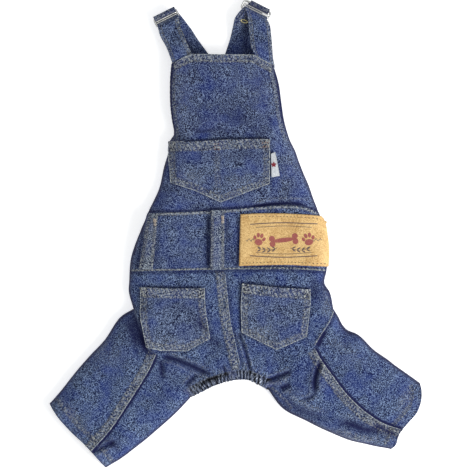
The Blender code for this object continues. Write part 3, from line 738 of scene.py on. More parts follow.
class Graph:
    """A small builder of shader nodes in one tree."""

    def __init__(self, tree: bpy.types.NodeTree) -> None:
        """Keeps the tree that the nodes go into."""
        self.tree = tree

    def fill(self, node: bpy.types.Node, values: dict) -> None:
        """Links sockets to a node's inputs, and sets plain values on the input's own socket."""
        for name, value in values.items():
            if isinstance(value, Socket):
                self.tree.links.new(value, node.inputs[name])
            else:
                node.inputs[name].default_value = value

    def node(self, kind: str, values: dict | None = None, **settings: object) -> bpy.types.Node:
        """Adds a node.

        Args:
            kind: the node's type.
            values: sockets or values for its inputs.
            settings: its plain settings.

        Returns:
            The node.
        """
        made = self.tree.nodes.new(kind)
        for name, value in settings.items():
            setattr(made, name, value)
        self.fill(made, values or {})
        return made

    def math(self, operation: str, first: object, second: object = 0.0, clamp: bool = False) -> Socket:
        """Result of a maths step on two values, held from 0 to 1 where it is clamped."""
        settings = {"operation": operation, "use_clamp": clamp}
        return self.node("ShaderNodeMath", {0: first, 1: second}, **settings).outputs[0]

    def plus(self, first: object, second: object, clamp: bool = False) -> Socket:
        """Sum of two values."""
        return self.math("ADD", first, second, clamp)

    def times(self, first: object, second: object, clamp: bool = False) -> Socket:
        """Product of two values."""
        return self.math("MULTIPLY", first, second, clamp)

    def swing(self, value: Socket, size: float) -> Socket:
        """A value of 0 to 1 swung round zero, at a size."""
        return self.times(self.math("SUBTRACT", value, 0.5), size)

    def stretched(self, vector: Socket, down: float) -> Socket:
        """A vector whose second axis is multiplied."""
        values = {0: vector, 1: (1.0, down, 1.0)}
        return self.node("ShaderNodeVectorMath", values, operation="MULTIPLY").outputs[0]

    def noise(self, vector: Socket, scale: object, detail: float = 2.0, rough: float = 0.6) -> Socket:
        """Noise value over a vector."""
        values = {"Vector": vector, "Scale": scale, "Detail": detail, "Roughness": rough}
        return self.node("ShaderNodeTexNoise", values).outputs["Fac"]

    def spread(self, value: object, low: float, high: float, to_low: float = 0.0,
               to_high: float = 1.0) -> Socket:
        """A value stretched from one range to another, without going beyond it."""
        values = {"Value": value, "From Min": low, "From Max": high, "To Min": to_low, "To Max": to_high}
        return self.node("ShaderNodeMapRange", values, clamp=True).outputs["Result"]

    def mix(self, share: object, first: object, second: object) -> Socket:
        """A colour mixed from two colours, whose sockets are the mix node's sixth and seventh."""
        return self.node("ShaderNodeMix", {0: share, 6: first, 7: second}, data_type="RGBA").outputs[2]

    def cloth(self) -> Socket:
        """The place on the cloth, along and across its warp."""
        return self.node("ShaderNodeAttribute", attribute_name="cloth").outputs["Vector"]

    def value(self, name: str) -> Socket:
        """A named value of the mesh's points."""
        return self.node("ShaderNodeAttribute", attribute_name=name).outputs["Fac"]

    def place(self) -> Socket:
        """The place in the object's own frame."""
        return self.node("ShaderNodeTexCoord").outputs["Object"]

    def group(self, shared: SharedGroup, values: dict) -> bpy.types.NodeOutputs:
        """Outputs of a shared node group, with its inputs filled from the values."""
        made = self.node("ShaderNodeGroup", node_tree=shared.tree())
        self.fill(made, values)
        return made.outputs

    def bump(self, shader: bpy.types.Node, height: Socket, distance: float, strength: float) -> None:
        """Feeds a height into the shader's normal, with the bump's distance in metres."""
        values = {"Strength": strength, "Distance": distance, "Height": height}
        self.fill(shader, {"Normal": self.node("ShaderNodeBump", values).outputs["Normal"]})


class SharedGroup:
    """A shader node group with named inputs and outputs, built once at its first use."""

    name = ""
    inputs: Sequence[tuple[str, str, object]] = ()
    outputs: Sequence[tuple[str, str]] = ()

    def tree(self) -> bpy.types.NodeTree:
        """The group's tree."""
        if self.name in bpy.data.node_groups:
            return bpy.data.node_groups[self.name]
        tree = bpy.data.node_groups.new(self.name, "ShaderNodeTree")
        for label, kind, value in self.inputs:
            socket = tree.interface.new_socket(label, in_out="INPUT", socket_type="NodeSocket" + kind)
            if value is not None:
                socket.default_value = value
        for label, kind in self.outputs:
            tree.interface.new_socket(label, in_out="OUTPUT", socket_type="NodeSocket" + kind)
        g = Graph(tree)
        g.node("NodeGroupOutput", self.results(g, g.node("NodeGroupInput").outputs))
        return tree

    def results(self, g: Graph, given: bpy.types.NodeOutputs) -> dict[str, Socket]:
        """The value of each output.

        Args:
            g: builder of the group's nodes.
            given: sockets of the group's inputs.

        Returns:
            A socket for each output's name.
        """
        raise NotImplementedError


class TwillGroup(SharedGroup):
    """Dyed twill: thread grain, slubs, diagonal ribs, wash and wear, and darkened towards the shade colour by
    the mesh's dark value, which is mostly painted shade.
    """

    name = "twill cloth"
    inputs = (
        ("Cloth", "Vector", None), ("Fade", "Float", 0.0), ("Dark", "Float", 0.0), ("Grain", "Float", 1.0),
        ("Deep", "Color", tone((22, 28, 66))), ("Middle", "Color", tone((62, 78, 118))),
        ("Pale", "Color", tone((138, 152, 184))), ("Worn", "Color", tone((150, 158, 160))),
        ("Hollow", "Color", tone((34, 40, 60))), ("Blue", "Color", tone((38, 54, 126))),
        ("Shade", "Color", tone((24, 32, 88))))
    outputs = (("Color", "Color"), ("Height", "Float"), ("Roughness", "Float"))

    def results(self, g: Graph, given: bpy.types.NodeOutputs) -> dict[str, Socket]:
        """The cloth's colour, its height for a bump and its roughness."""
        cloth = given["Cloth"]
        fine = g.noise(g.stretched(cloth, 0.85), 1850.0, 1.0)
        blot = g.noise(g.stretched(cloth, 0.8), 800.0, 1.0)
        slub = g.noise(g.stretched(cloth, 0.2), 1200.0, 1.0, 0.5)
        wash = g.noise(cloth, 42.0, 3.0, 0.55)
        cloud = g.noise(cloth, 75.0, 2.0, 0.5)
        speck = g.noise(cloth, 880.0, 2.0, 0.7)
        along = g.node("ShaderNodeSeparateXYZ", {0: cloth}).outputs
        turns = g.plus(g.times(along[0], 5200.0), g.times(along[1], 4300.0))
        rib = g.math("SINE", g.plus(turns, g.times(blot, 5.0)))
        grain = g.plus(g.plus(g.swing(fine, 8.0), g.swing(blot, 1.6)), g.swing(slub, 0.9))
        grain = g.times(g.plus(grain, g.times(rib, 0.10)), given["Grain"])
        value = g.plus(g.plus(0.30, grain), g.swing(wash, 0.7), clamp=True)
        low = g.mix(g.spread(value, 0.0, 0.5), given["Deep"], given["Middle"])
        base = g.mix(g.spread(value, 0.5, 1.0), low, given["Pale"])
        base = g.mix(g.spread(cloud, 0.42, 0.72, 0.0, 0.5), base, given["Blue"])
        rubbed = g.mix(g.spread(speck, 0.48, 0.565), given["Hollow"], given["Worn"])
        worn = g.mix(g.times(given["Fade"], 0.95, clamp=True), base, rubbed)
        shade = g.times(given["Dark"], g.spread(fine, 0.3, 0.7, 0.85, 0.55), clamp=True)
        return {"Color": g.mix(shade, worn, given["Shade"]),
                "Height": g.plus(g.plus(g.times(rib, 0.35), g.times(fine, 1.3)), slub),
                "Roughness": g.spread(value, 0.0, 1.0, 0.95, 0.82)}


class WearGroup(SharedGroup):
    """Rubbed edges: a mask that grows with wear and breaks up in specks."""

    name = "rubbed edges"
    inputs = (("Cloth", "Vector", None), ("Wear", "Float", 0.0), ("Scale", "Float", 700.0))
    outputs = (("Mask", "Float"),)

    def results(self, g: Graph, given: bpy.types.NodeOutputs) -> dict[str, Socket]:
        """The mask, from 0 to 1."""
        specks = g.noise(given["Cloth"], given["Scale"], 2.0, 0.5)
        return {"Mask": g.times(given["Wear"], g.spread(specks, 0.35, 0.65, 0.3, 1.3), clamp=True)}


@dataclass(frozen=True)
class Finish:
    """A material that is built once, at its first use."""

    name: str

    def material(self) -> bpy.types.Material:
        """The material."""
        if self.name in bpy.data.materials:
            return bpy.data.materials[self.name]
        made = bpy.data.materials.new(self.name)
        made.use_nodes = True
        self.dress(Graph(made.node_tree), made.node_tree.nodes["Principled BSDF"])
        return made

    def dress(self, g: Graph, shader: bpy.types.Node) -> None:
        """Adds the finish's nodes.

        Args:
            g: builder of the material's nodes.
            shader: the material's shader.
        """
        raise NotImplementedError


@dataclass(frozen=True)
class Denim(Finish):
    """Washed denim in one depth of dye."""

    deep: Rgb = (2, 8, 42)
    middle: Rgb = (26, 48, 106)
    pale: Rgb = (138, 156, 190)
    worn: Rgb = (190, 194, 190)
    hollow: Rgb = (4, 10, 34)
    blue: Rgb = (26, 50, 130)
    shade: Rgb = (13, 20, 66)
    grain: float = 1.0

    def dress(self, g: Graph, shader: bpy.types.Node) -> None:
        """Adds the twill in its dyes, with the wear and the shade of the mesh."""
        dyes = {"Deep": self.deep, "Middle": self.middle, "Pale": self.pale, "Worn": self.worn,
                "Hollow": self.hollow, "Blue": self.blue, "Shade": self.shade}
        twill = g.group(TwillGroup(), {
            "Cloth": g.cloth(), "Fade": g.value("fade"), "Dark": g.value("dark"), "Grain": self.grain,
            **{label: tone(dye) for label, dye in dyes.items()}})
        g.fill(shader, {"Sheen Weight": 0.08, "Specular IOR Level": 0.25, "Base Color": twill["Color"],
                        "Roughness": twill["Roughness"]})
        g.bump(shader, twill["Height"], 0.00025, 0.8)


@dataclass(frozen=True)
class Leather(Finish):
    """Matt leather with a fine grain and darker rubbed edges."""

    colour: Rgb
    deep: Rgb
    edge: Rgb

    def dress(self, g: Graph, shader: bpy.types.Node) -> None:
        """Adds clouded leather with pores and rubbed edges."""
        cloth = g.cloth()
        cloud = g.noise(cloth, 110.0, 4.0)
        fine = g.noise(cloth, 1250.0, 2.0, 0.7)
        tint = g.plus(g.spread(cloud, 0.3, 0.7, -0.1, 0.5), g.spread(fine, 0.38, 0.62, -0.25, 0.65), True)
        base = g.mix(tint, tone(self.colour), tone(self.deep))
        wear = g.group(WearGroup(), {"Cloth": cloth, "Wear": g.value("dark")})
        cells = g.node("ShaderNodeTexVoronoi", feature="DISTANCE_TO_EDGE")
        g.fill(cells, {"Vector": cloth, "Scale": 1400.0})
        pores = g.spread(cells.outputs["Distance"], 0.0, 0.35)
        g.fill(shader, {"Specular IOR Level": 0.35, "Base Color": g.mix(wear["Mask"], base, tone(self.edge)),
                        "Roughness": g.spread(cloud, 0.3, 0.7, 0.55, 0.72)})
        g.bump(shader, g.plus(pores, fine), 0.00012, 0.7)


@dataclass(frozen=True)
class Tape(Finish):
    """Woven tape with fine ribs across it."""

    colour: Rgb
    shade: Rgb
    edge: Rgb

    def dress(self, g: Graph, shader: bpy.types.Node) -> None:
        """Adds the ribs, the specks and the darker edges."""
        cloth = g.cloth()
        along = g.node("ShaderNodeSeparateXYZ", {0: cloth}).outputs[1]
        ribs = g.math("SINE", g.times(along, 11000.0))
        tint = g.plus(g.spread(g.noise(cloth, 1300.0, 1.0), 0.35, 0.7, 0.0, 0.7), g.times(ribs, 0.08), True)
        wear = g.group(WearGroup(), {"Cloth": cloth, "Wear": g.value("dark")})
        base = g.mix(tint, tone(self.colour), tone(self.shade))
        g.fill(shader, {"Roughness": 0.75, "Base Color": g.mix(wear["Mask"], base, tone(self.edge))})
        g.bump(shader, ribs, 0.00008, 0.8)


@dataclass(frozen=True)
class Thread(Finish):
    """Sewing thread with a twist in it."""

    colour: Rgb
    shade: Rgb

    def dress(self, g: Graph, shader: bpy.types.Node) -> None:
        """Adds the thread's specks."""
        specks = g.noise(g.place(), 1900.0, 1.0)
        colour = g.mix(g.spread(specks, 0.35, 0.65), tone(self.colour), tone(self.shade))
        g.fill(shader, {"Roughness": 0.7, "Base Color": colour})
        g.bump(shader, specks, 0.0001, 0.6)


@dataclass(frozen=True)
class Metal(Finish):
    """Bright plated wire with a few dull spots, and painted shade on its sides and underside."""

    colour: Rgb
    dull: Rgb
    # Colour of the painted shade on a wire's sides and underside.
    painted_shade: Rgb

    def dress(self, g: Graph, shader: bpy.types.Node) -> None:
        """Adds the plating, its dull spots and the painted shade away from the crown."""
        spots = g.noise(g.place(), 420.0, 3.0)
        top = g.mix(g.spread(spots, 0.5, 0.7), tone(self.colour), tone(self.dull))
        g.fill(shader, {"Metallic": 1.0, "Base Color": g.mix(g.value("dark"), top, tone(self.painted_shade)),
                        "Roughness": g.spread(spots, 0.35, 0.7, 0.22, 0.5)})


@dataclass(frozen=True)
class Ink(Finish):
    """Printing ink that lets the ground's grain through."""

    colour: Rgb
    thin: Rgb

    def dress(self, g: Graph, shader: bpy.types.Node) -> None:
        """Adds the ink with its thin spots."""
        thin = g.spread(g.noise(g.place(), 1300.0, 3.0), 0.45, 0.75)
        g.fill(shader, {"Roughness": 0.7, "Base Color": g.mix(thin, tone(self.colour), tone(self.thin))})


@dataclass(frozen=True)
class PaleFloor(Finish):
    """A white floor that glows a little, so that it stays white round the shadows."""

    def dress(self, g: Graph, shader: bpy.types.Node) -> None:
        """Adds a faint haze of two whites."""
        haze = g.noise(g.place(), 3.0)
        g.fill(shader, {"Roughness": 0.9, "Specular IOR Level": 0.1, "Emission Strength": 0.5,
                        "Emission Color": (1.0, 1.0, 1.0, 1.0),
                        "Base Color": g.mix(haze, (0.95, 0.95, 0.95, 1), (0.97, 0.97, 0.97, 1))})


DENIM = Denim("washed denim")
BAND_DENIM = Denim("waistband denim", middle=(48, 71, 120))
POCKET_DENIM = Denim("pocket denim", middle=(44, 64, 106))
# The ruffle's worn colour paints the light on its gathers' crests, and its shade colour the shade in their
# troughs.
RUFFLE_DENIM = Denim("ruffle denim", deep=(4, 8, 26), middle=(44, 58, 92), pale=(150, 158, 170),
                     worn=(204, 213, 228), hollow=(84, 98, 130), shade=(6, 8, 22))
LEG_DENIM = Denim("leg denim", middle=(30, 58, 116), pale=(134, 155, 190))
LOOP_DENIM = Denim("loop denim", middle=(98, 116, 140), pale=(178, 188, 198))
RUBBED_DENIM = Denim("rubbed denim", deep=(104, 114, 132), middle=(160, 168, 176), pale=(212, 216, 212),
                     blue=(140, 150, 166))
STRAP_DENIM = Denim("strap denim", middle=(46, 70, 120))
KHAKI = Thread("khaki thread", (136, 138, 134), (62, 68, 86))
DARK_THREAD = Thread("dark thread", (56, 50, 62), (34, 32, 44))
RUST = Thread("rust thread", (158, 118, 104), (104, 74, 78))
CREAM = Thread("cream thread", (234, 222, 204), (176, 152, 132))
PALE_THREAD = Thread("pale blue thread", (118, 128, 144), (66, 78, 104))
LIGHT_THREAD = Thread("light thread", (178, 182, 178), (112, 122, 136))
# The last colour of each metal is its painted shade away from the crown.
NICKEL = Metal("bright nickel", (246, 246, 242), (206, 206, 202), (34, 34, 38))
BRASS = Metal("old brass", (232, 222, 168), (176, 160, 104), (70, 62, 36))
TAN = Leather("tan leather", (233, 197, 134), (176, 132, 74), (120, 82, 46))
TAPE = Tape("white woven tape", (226, 229, 232), (168, 176, 186), (110, 122, 140))


class Draft:
    """Points and faces of one piece, gathered grid by grid."""

    def __init__(self) -> None:
        """Starts with nothing."""
        self.count = 0
        self.places: list[Array] = []
        self.fades: list[Array] = []
        self.darks: list[Array] = []
        self.faces: list[Array] = []

    def add(self, places: Array, relief: Relief | None = None) -> Array:
        """Adds places, with the paler and darker paint of their relief: wear, uneven dye and painted light
        and shade.

        Args:
            places: an array of places, of any shape of rows and columns.
            relief: their relief, flattened, or none for plain cloth.

        Returns:
            The places' indices, in the same shape.
        """
        shape = places.shape[:-1]
        count = int(np.prod(shape))
        relief = relief or Relief.plain(count)
        self.places.append(places.reshape(-1, 3))
        self.fades.append(relief.fade)
        self.darks.append(relief.dark)
        index = np.arange(self.count, self.count + count).reshape(shape)
        self.count += count
        return index

    def skin(self, index: Array, flip: bool = False, closed: bool = False) -> None:
        """Adds faces between the rows and columns of an index grid.

        Args:
            index: indices of the places, by row and column.
            flip: whether the faces turn over.
            closed: whether the last column joins the first.
        """
        if closed:
            index = np.concatenate((index, index[:, :1]), axis=1)
        quads = quads_of(index)
        self.faces.append(quads[:, ::-1] if flip else quads)

    def piece(self, name: str, finish: Finish, wall: float = 0.0, turn_deg: float = 0.0,
              slot: Slot = Slot.DENIM, shift: float = 0.0) -> bpy.types.Object:
        """Turns the draft into an object, with a wall behind its faces where one is given.

        Args:
            name: the piece's name.
            finish: its finish.
            wall: thickness of the cloth in metres, or 0 for an open skin.
            turn_deg: turn of the warp from the +Y axis.
            slot: the record's slot that the finish belongs to; not used.
            shift: a shift of the grain, so that neighbours don't share a pattern.

        Returns:
            The object.
        """
        places = np.vstack(self.places)
        faces = np.vstack(self.faces)
        fade = np.clip(np.concatenate(self.fades), 0, 1.2)
        dark = np.clip(np.concatenate(self.darks), 0, 1.8)
        rims = np.zeros((0, 2), dtype=int)
        if wall > 0:
            count = len(places)
            normals = self.normals(places, faces)
            starts, ends = faces.ravel(), np.roll(faces, -1, axis=1).ravel()
            keys = np.minimum(starts, ends) * count + np.maximum(starts, ends)
            once = np.unique(keys, return_counts=True)
            free = np.isin(keys, once[0][once[1] == 1])
            a, b = starts[free], ends[free]
            sides = np.stack((b, a, a + count, b + count), axis=-1)
            rims = np.vstack((np.stack((a, b), axis=-1), np.stack((a, b), axis=-1) + count))
            places = np.vstack((places, places - normals * wall))
            faces = np.vstack((faces, faces[:, ::-1] + count, sides))
            fade = np.concatenate((fade, fade * 0.3))
            # The inner skin, and with it the rims, are kept at least this dark: painted shade on the denim
            # pieces, and the edge colour on the leather patch and the tape.
            dark = np.concatenate((dark, np.maximum(dark, 0.35)))
        return add_mesh(name, places, faces, finish,
                        {"fade": fade, "dark": dark}, rims, turn_deg, shift)

    @staticmethod
    def normals(places: Array, faces: Array) -> Array:
        """Unit normals of the places, averaged over their faces."""
        first = places[faces[:, 2]] - places[faces[:, 0]]
        second = places[faces[:, 3]] - places[faces[:, 1]]
        cross = np.cross(first, second)
        total = np.zeros_like(places)
        for k in range(4):
            np.add.at(total, faces[:, k], cross)
        return total / np.maximum(np.linalg.norm(total, axis=1, keepdims=True), 1e-12)


def add_mesh(name: str, places: Array, faces: Array | list, finish: Finish,
             values: dict[str, Array] | None = None, sharp: Array | None = None, turn_deg: float = 0.0,
             shift: float = 0.0) -> bpy.types.Object:
    """Makes a smooth shaded object that rides with the part.

    Args:
        name: the object's name.
        places: its points.
        faces: its faces as rows of indices.
        finish: its finish.
        values: named values of the points.
        sharp: pairs of points whose edges stay sharp.
        turn_deg: turn of the grain from the +Y axis.
        shift: a shift of the grain in metres.

    Returns:
        The object.
    """
    mesh = bpy.data.meshes.new(name)
    mesh.from_pydata(places.tolist(), [], faces if isinstance(faces, list) else faces.tolist())
    mesh.shade_smooth()
    for label, numbers in (values or {}).items():
        layer = mesh.attributes.new(label, "FLOAT", "POINT")
        layer.data.foreach_set("value", numbers.astype(np.float32))
    x, y = turned(places[:, 0], places[:, 1], turn_deg)
    cloth = np.column_stack((x + shift, y + shift * 0.7, places[:, 2])).astype(np.float32)
    mesh.attributes.new("cloth", "FLOAT_VECTOR", "POINT").data.foreach_set("vector", cloth.ravel())
    if sharp is not None and len(sharp):
        edges = np.empty(len(mesh.edges) * 2, dtype=np.int32)
        mesh.edges.foreach_get("vertices", edges)
        edges = np.sort(edges.reshape(-1, 2), axis=1).astype(np.int64)
        count = len(places)
        wanted = np.sort(sharp, axis=1)
        marked = np.isin(edges[:, 0] * count + edges[:, 1], wanted[:, 0] * count + wanted[:, 1])
        mesh.attributes.new("sharp_edge", "BOOLEAN", "EDGE").data.foreach_set("value", marked)
    mesh.materials.append(finish.material())
    made = bpy.data.objects.new(name, mesh)
    bpy.context.scene.collection.objects.link(made)
    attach(made, "root")
    return made


def report(piece: bpy.types.Object, *nodes: str) -> None:
    """Lets a piece stand for the named solids, and logs it."""
    if nodes:
        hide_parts(*nodes)
    stands_for = ", ".join(nodes) or "none"
    LOG.info("%s: %d faces, stands for %s", piece.name, len(piece.data.polygons), stands_for)


def relief_of(points: Array, features: Iterable[Feature], with_folds: bool = True) -> Relief:
    """The relief that features give at plan points, with the painted shade and highlights of the main folds.

    Args:
        points: plan points, one row each.
        features: the piece's own relief.
        with_folds: whether the painted shade and highlights of the main folds and the painted shade at the
            garment's edge are added.

    Returns:
        The relief, without the folds' height, which the surface itself has.
    """
    relief = Relief.plain(len(points))
    if with_folds:
        folds = LIE.swell(points)
        relief.fade += folds.fade
        relief.dark += folds.dark + EDGE_DARK * hump(LIE.nearest(points)[0], EDGE_WIDTH)
    for feature in features:
        feature.add(points, relief)
    return relief


# Points along and across a stitch, as shares from its middle, and their counts.
ALONG = np.linspace(-0.5, 0.5, 6)
ACROSS = np.linspace(-1, 1, 5)
STITCH = (len(ALONG), len(ACROSS))


def quads_of(index: Array) -> Array:
    """Faces between the last two axes of index grids."""
    corners = (index[..., :-1, :-1], index[..., 1:, :-1], index[..., 1:, 1:], index[..., :-1, 1:])
    return np.stack(corners, axis=-1).reshape(-1, 4)


@dataclass
class Stitching:
    """Rows of stitches gathered into one joined mesh."""

    name: str
    thread: Thread
    width: float = 0.00042
    length: float = 0.0017
    pitch: float = 0.0024
    places: list[Array] = field(default_factory=list)

    def row(self, line: Line, lift: float, features: Sequence[Feature] = (), wander: float = 0.00012) -> None:
        """Adds a row of stitches on the upper cloth.

        Args:
            line: the row's line in plan.
            lift: height above the upper cloth of the layer that is sewn.
            features: that layer's own relief.
            wander: how far the row strays to the sides.
        """
        count = max(1, int(line.length / self.pitch))
        middles = (np.arange(count) + 0.5) / count
        heading = line.heading(middles)
        side = left_of(heading)
        centre = line.at(middles) + side * (wander * np.sin(np.arange(count) * 2.4))[:, None]
        arch = arc(2 * ALONG) * 0.6 + 0.4 * (np.abs(ALONG) < 0.45)
        cells = np.zeros((count, *STITCH, 2))
        for i, share in enumerate(ALONG):
            for j, across in enumerate(ACROSS):
                half = across * self.width / 2 * (0.35 + 0.65 * arch[i])
                cells[:, i, j] = centre + heading * share * self.length + side * half
        flat = cells.reshape(-1, 2)
        relief = relief_of(flat, features, False)
        rounded = arc(ACROSS)[None, :] * arch[:, None] * self.width * 0.55 - 0.00004
        rise = np.broadcast_to(rounded, (count, *STITCH)).reshape(-1)
        self.add(LIE.upper(flat, lift + relief.height + rise).reshape(count, *STITCH, 3))

    def add(self, cells: Array) -> None:
        """Adds ready stitches, each six points long and five wide."""
        self.places.append(cells)

    def build(self) -> bpy.types.Object:
        """The joined mesh of all the rows."""
        cells = np.concatenate(self.places)
        index = np.arange(len(cells) * math.prod(STITCH)).reshape(-1, *STITCH)
        piece = add_mesh(self.name, cells.reshape(-1, 3), quads_of(index), self.thread)
        report(piece)
        return piece


@dataclass
class RubbedEdges:
    """Pale rubbed threads along folded edges, gathered into one joined mesh."""

    name: str
    width: float = 0.0007
    draft: Draft = field(default_factory=Draft)

    def run(self, line: Line, lift: float, features: Sequence[Feature] = (),
            width: float | None = None) -> None:
        """Adds a rubbed line on the upper cloth.

        Args:
            line: the edge's line in plan.
            lift: height above the upper cloth of the layer that is rubbed.
            features: that layer's own relief.
            width: the line's width, where it isn't the usual one.
        """
        shares = np.linspace(0, 1, max(4, int(line.length / 0.0005)))
        side = left_of(line.heading(shares))
        run = shares * line.length
        half = (width or self.width) / 2 * (0.8 + 0.35 * np.sin(run * 1900 + 2.0 * np.sin(run * 700)))
        half = half * tapered(shares, 1 / 20)
        plan = line.at(shares)[:, None] + side[:, None] * (ACROSS[None] * half[:, None])[..., None]
        flat = plan.reshape(-1, 2)
        rise = (arc(ACROSS)[None] * half[:, None] * 0.7).reshape(-1)
        places = LIE.upper(flat, lift + relief_of(flat, features, False).height + rise)
        self.draft.skin(self.draft.add(places.reshape(*plan.shape[:2], 3)))

    def build(self) -> bpy.types.Object:
        """The joined mesh of all the edges."""
        piece = self.draft.piece(self.name, RUBBED_DENIM)
        report(piece)
        return piece


EDGES = RubbedEdges("rubbed_edges")
STITCHES = Stitching("stitches_khaki", KHAKI)
PALE_STITCHES = Stitching("stitches_pale", PALE_THREAD)
LIGHT_STITCHES = Stitching("stitches_light", LIGHT_THREAD, 0.0006, 0.0021, 0.0030)
DARK_STITCHES = Stitching("stitches_dark", DARK_THREAD, 0.0006, 0.0014, 0.0026)
BAR_TACKS = Stitching("bar_tacks", CREAM, 0.0005, 0.0020, 0.0007)
RUST_TACKS = Stitching("rust_tacks", RUST, 0.0005, 0.0014, 0.0016)


def laid(draft: Draft, plan: Array, features: Sequence[Feature], lift: Array | float = 0.0) -> Array:
    """Lays a plan grid on the upper cloth, with its relief.

    Args:
        draft: the draft that it goes into.
        plan: plan points by row and column.
        features: the piece's own relief.
        lift: height above the upper cloth, one value or one for each point.

    Returns:
        The grid's indices.
    """
    flat = plan.reshape(-1, 2)
    relief = relief_of(flat, features)
    high = np.broadcast_to(lift, plan.shape[:2]).reshape(-1) if np.ndim(lift) else lift
    return draft.add(LIE.upper(flat, high + relief.height).reshape(*plan.shape[:2], 3), relief)


def tucked(draft: Draft, edge: Array, index: Array, flip: bool) -> None:
    """Turns a panel's side edge under: round the fold, or back below it where the arm gapes.

    Args:
        draft: the panel's draft.
        edge: plan points of the edge, down the panel.
        index: the indices of the edge's points in the draft.
        flip: whether the faces turn over.
    """
    inward = LIE.nearest(edge)[1]
    joined, foot = LIE.joined(edge), LIE.foot(edge)
    columns = []
    for depth in (0.0045, 0.0026, 0.0012, 0.0003):
        round_fold = LIE.side * (1 - quarter(np.array(depth), LIE.side)) - 0.0002
        free = foot - 0.0012 * quarter(np.array(depth), 0.0012)
        height = np.maximum(round_fold, 0.00005) * joined + free * (1 - joined)
        columns.append(np.column_stack((edge + inward * depth, height)))
    extra = draft.add(np.stack(columns, axis=1))
    draft.skin(np.concatenate((extra, index[:, None]), axis=1), flip)


@dataclass(frozen=True)
class PocketPlan:
    """Marks of a patch pocket: its mouth, its sides downwards and its bottom to the right."""

    mouth: Marks
    left: Marks
    right: Marks
    bottom: Marks

    def rim(self) -> Line:
        """The sewn edge: down the left, along the bottom and up the right, cloth on its left."""
        return Line.drawn((*self.left, *self.bottom[1:-1], *self.right[::-1]))

    def shadow(self) -> list[Feature]:
        """The dark lines that the pocket leaves on the cloth below it."""
        rim = self.rim()
        return [
            Crease(Line.drawn(self.mouth, 3).moved((0, 0.0007)), 0.0003, 0.0009, 0.95, ends=0.02),
            Crease(rim.part(0.0, 0.33).beside(-0.0006), 0.0002, 0.0008, 0.8, ends=0.03),
            Crease(rim.part(0.33, 1.0).beside(-0.0006), 0.0002, 0.0008, 0.45, ends=0.03),
        ]


CHEST_PLAN = PocketPlan(
    mouth=((169.6, 142.2), (196, 142.0), (232, 139.9), (269.8, 139.4)),
    left=((169.6, 142.2), (169.4, 163), (170.8, 182.8)),
    right=((269.8, 139.4), (270.0, 163), (269.6, 183.9)),
    bottom=((170.8, 182.8), (196, 191.5), (220.9, 202.6), (246, 192.8), (269.6, 183.9)))
SEAT_PLAN_LEFT = PocketPlan(
    mouth=((140.7, 287), (172, 288.2), (204.9, 288)),
    left=((140.7, 287), (141.4, 321.7), (146.4, 346.8)),
    right=((204.9, 288), (205.6, 308.2), (210.3, 338.1)),
    bottom=((146.4, 346.8), (161, 350.3), (187, 350.9), (210.3, 338.1)))
SEAT_PLAN_RIGHT = PocketPlan(
    mouth=((242.1, 283.1), (276, 287), (310.7, 289.2)),
    left=((242.1, 283.1), (240.5, 305), (241.5, 332.1)),
    right=((310.7, 289.2), (310.3, 305), (306.6, 336.1)),
    bottom=((241.5, 332.1), (258, 340.5), (276.1, 349.3), (292, 343), (306.6, 336.1)))


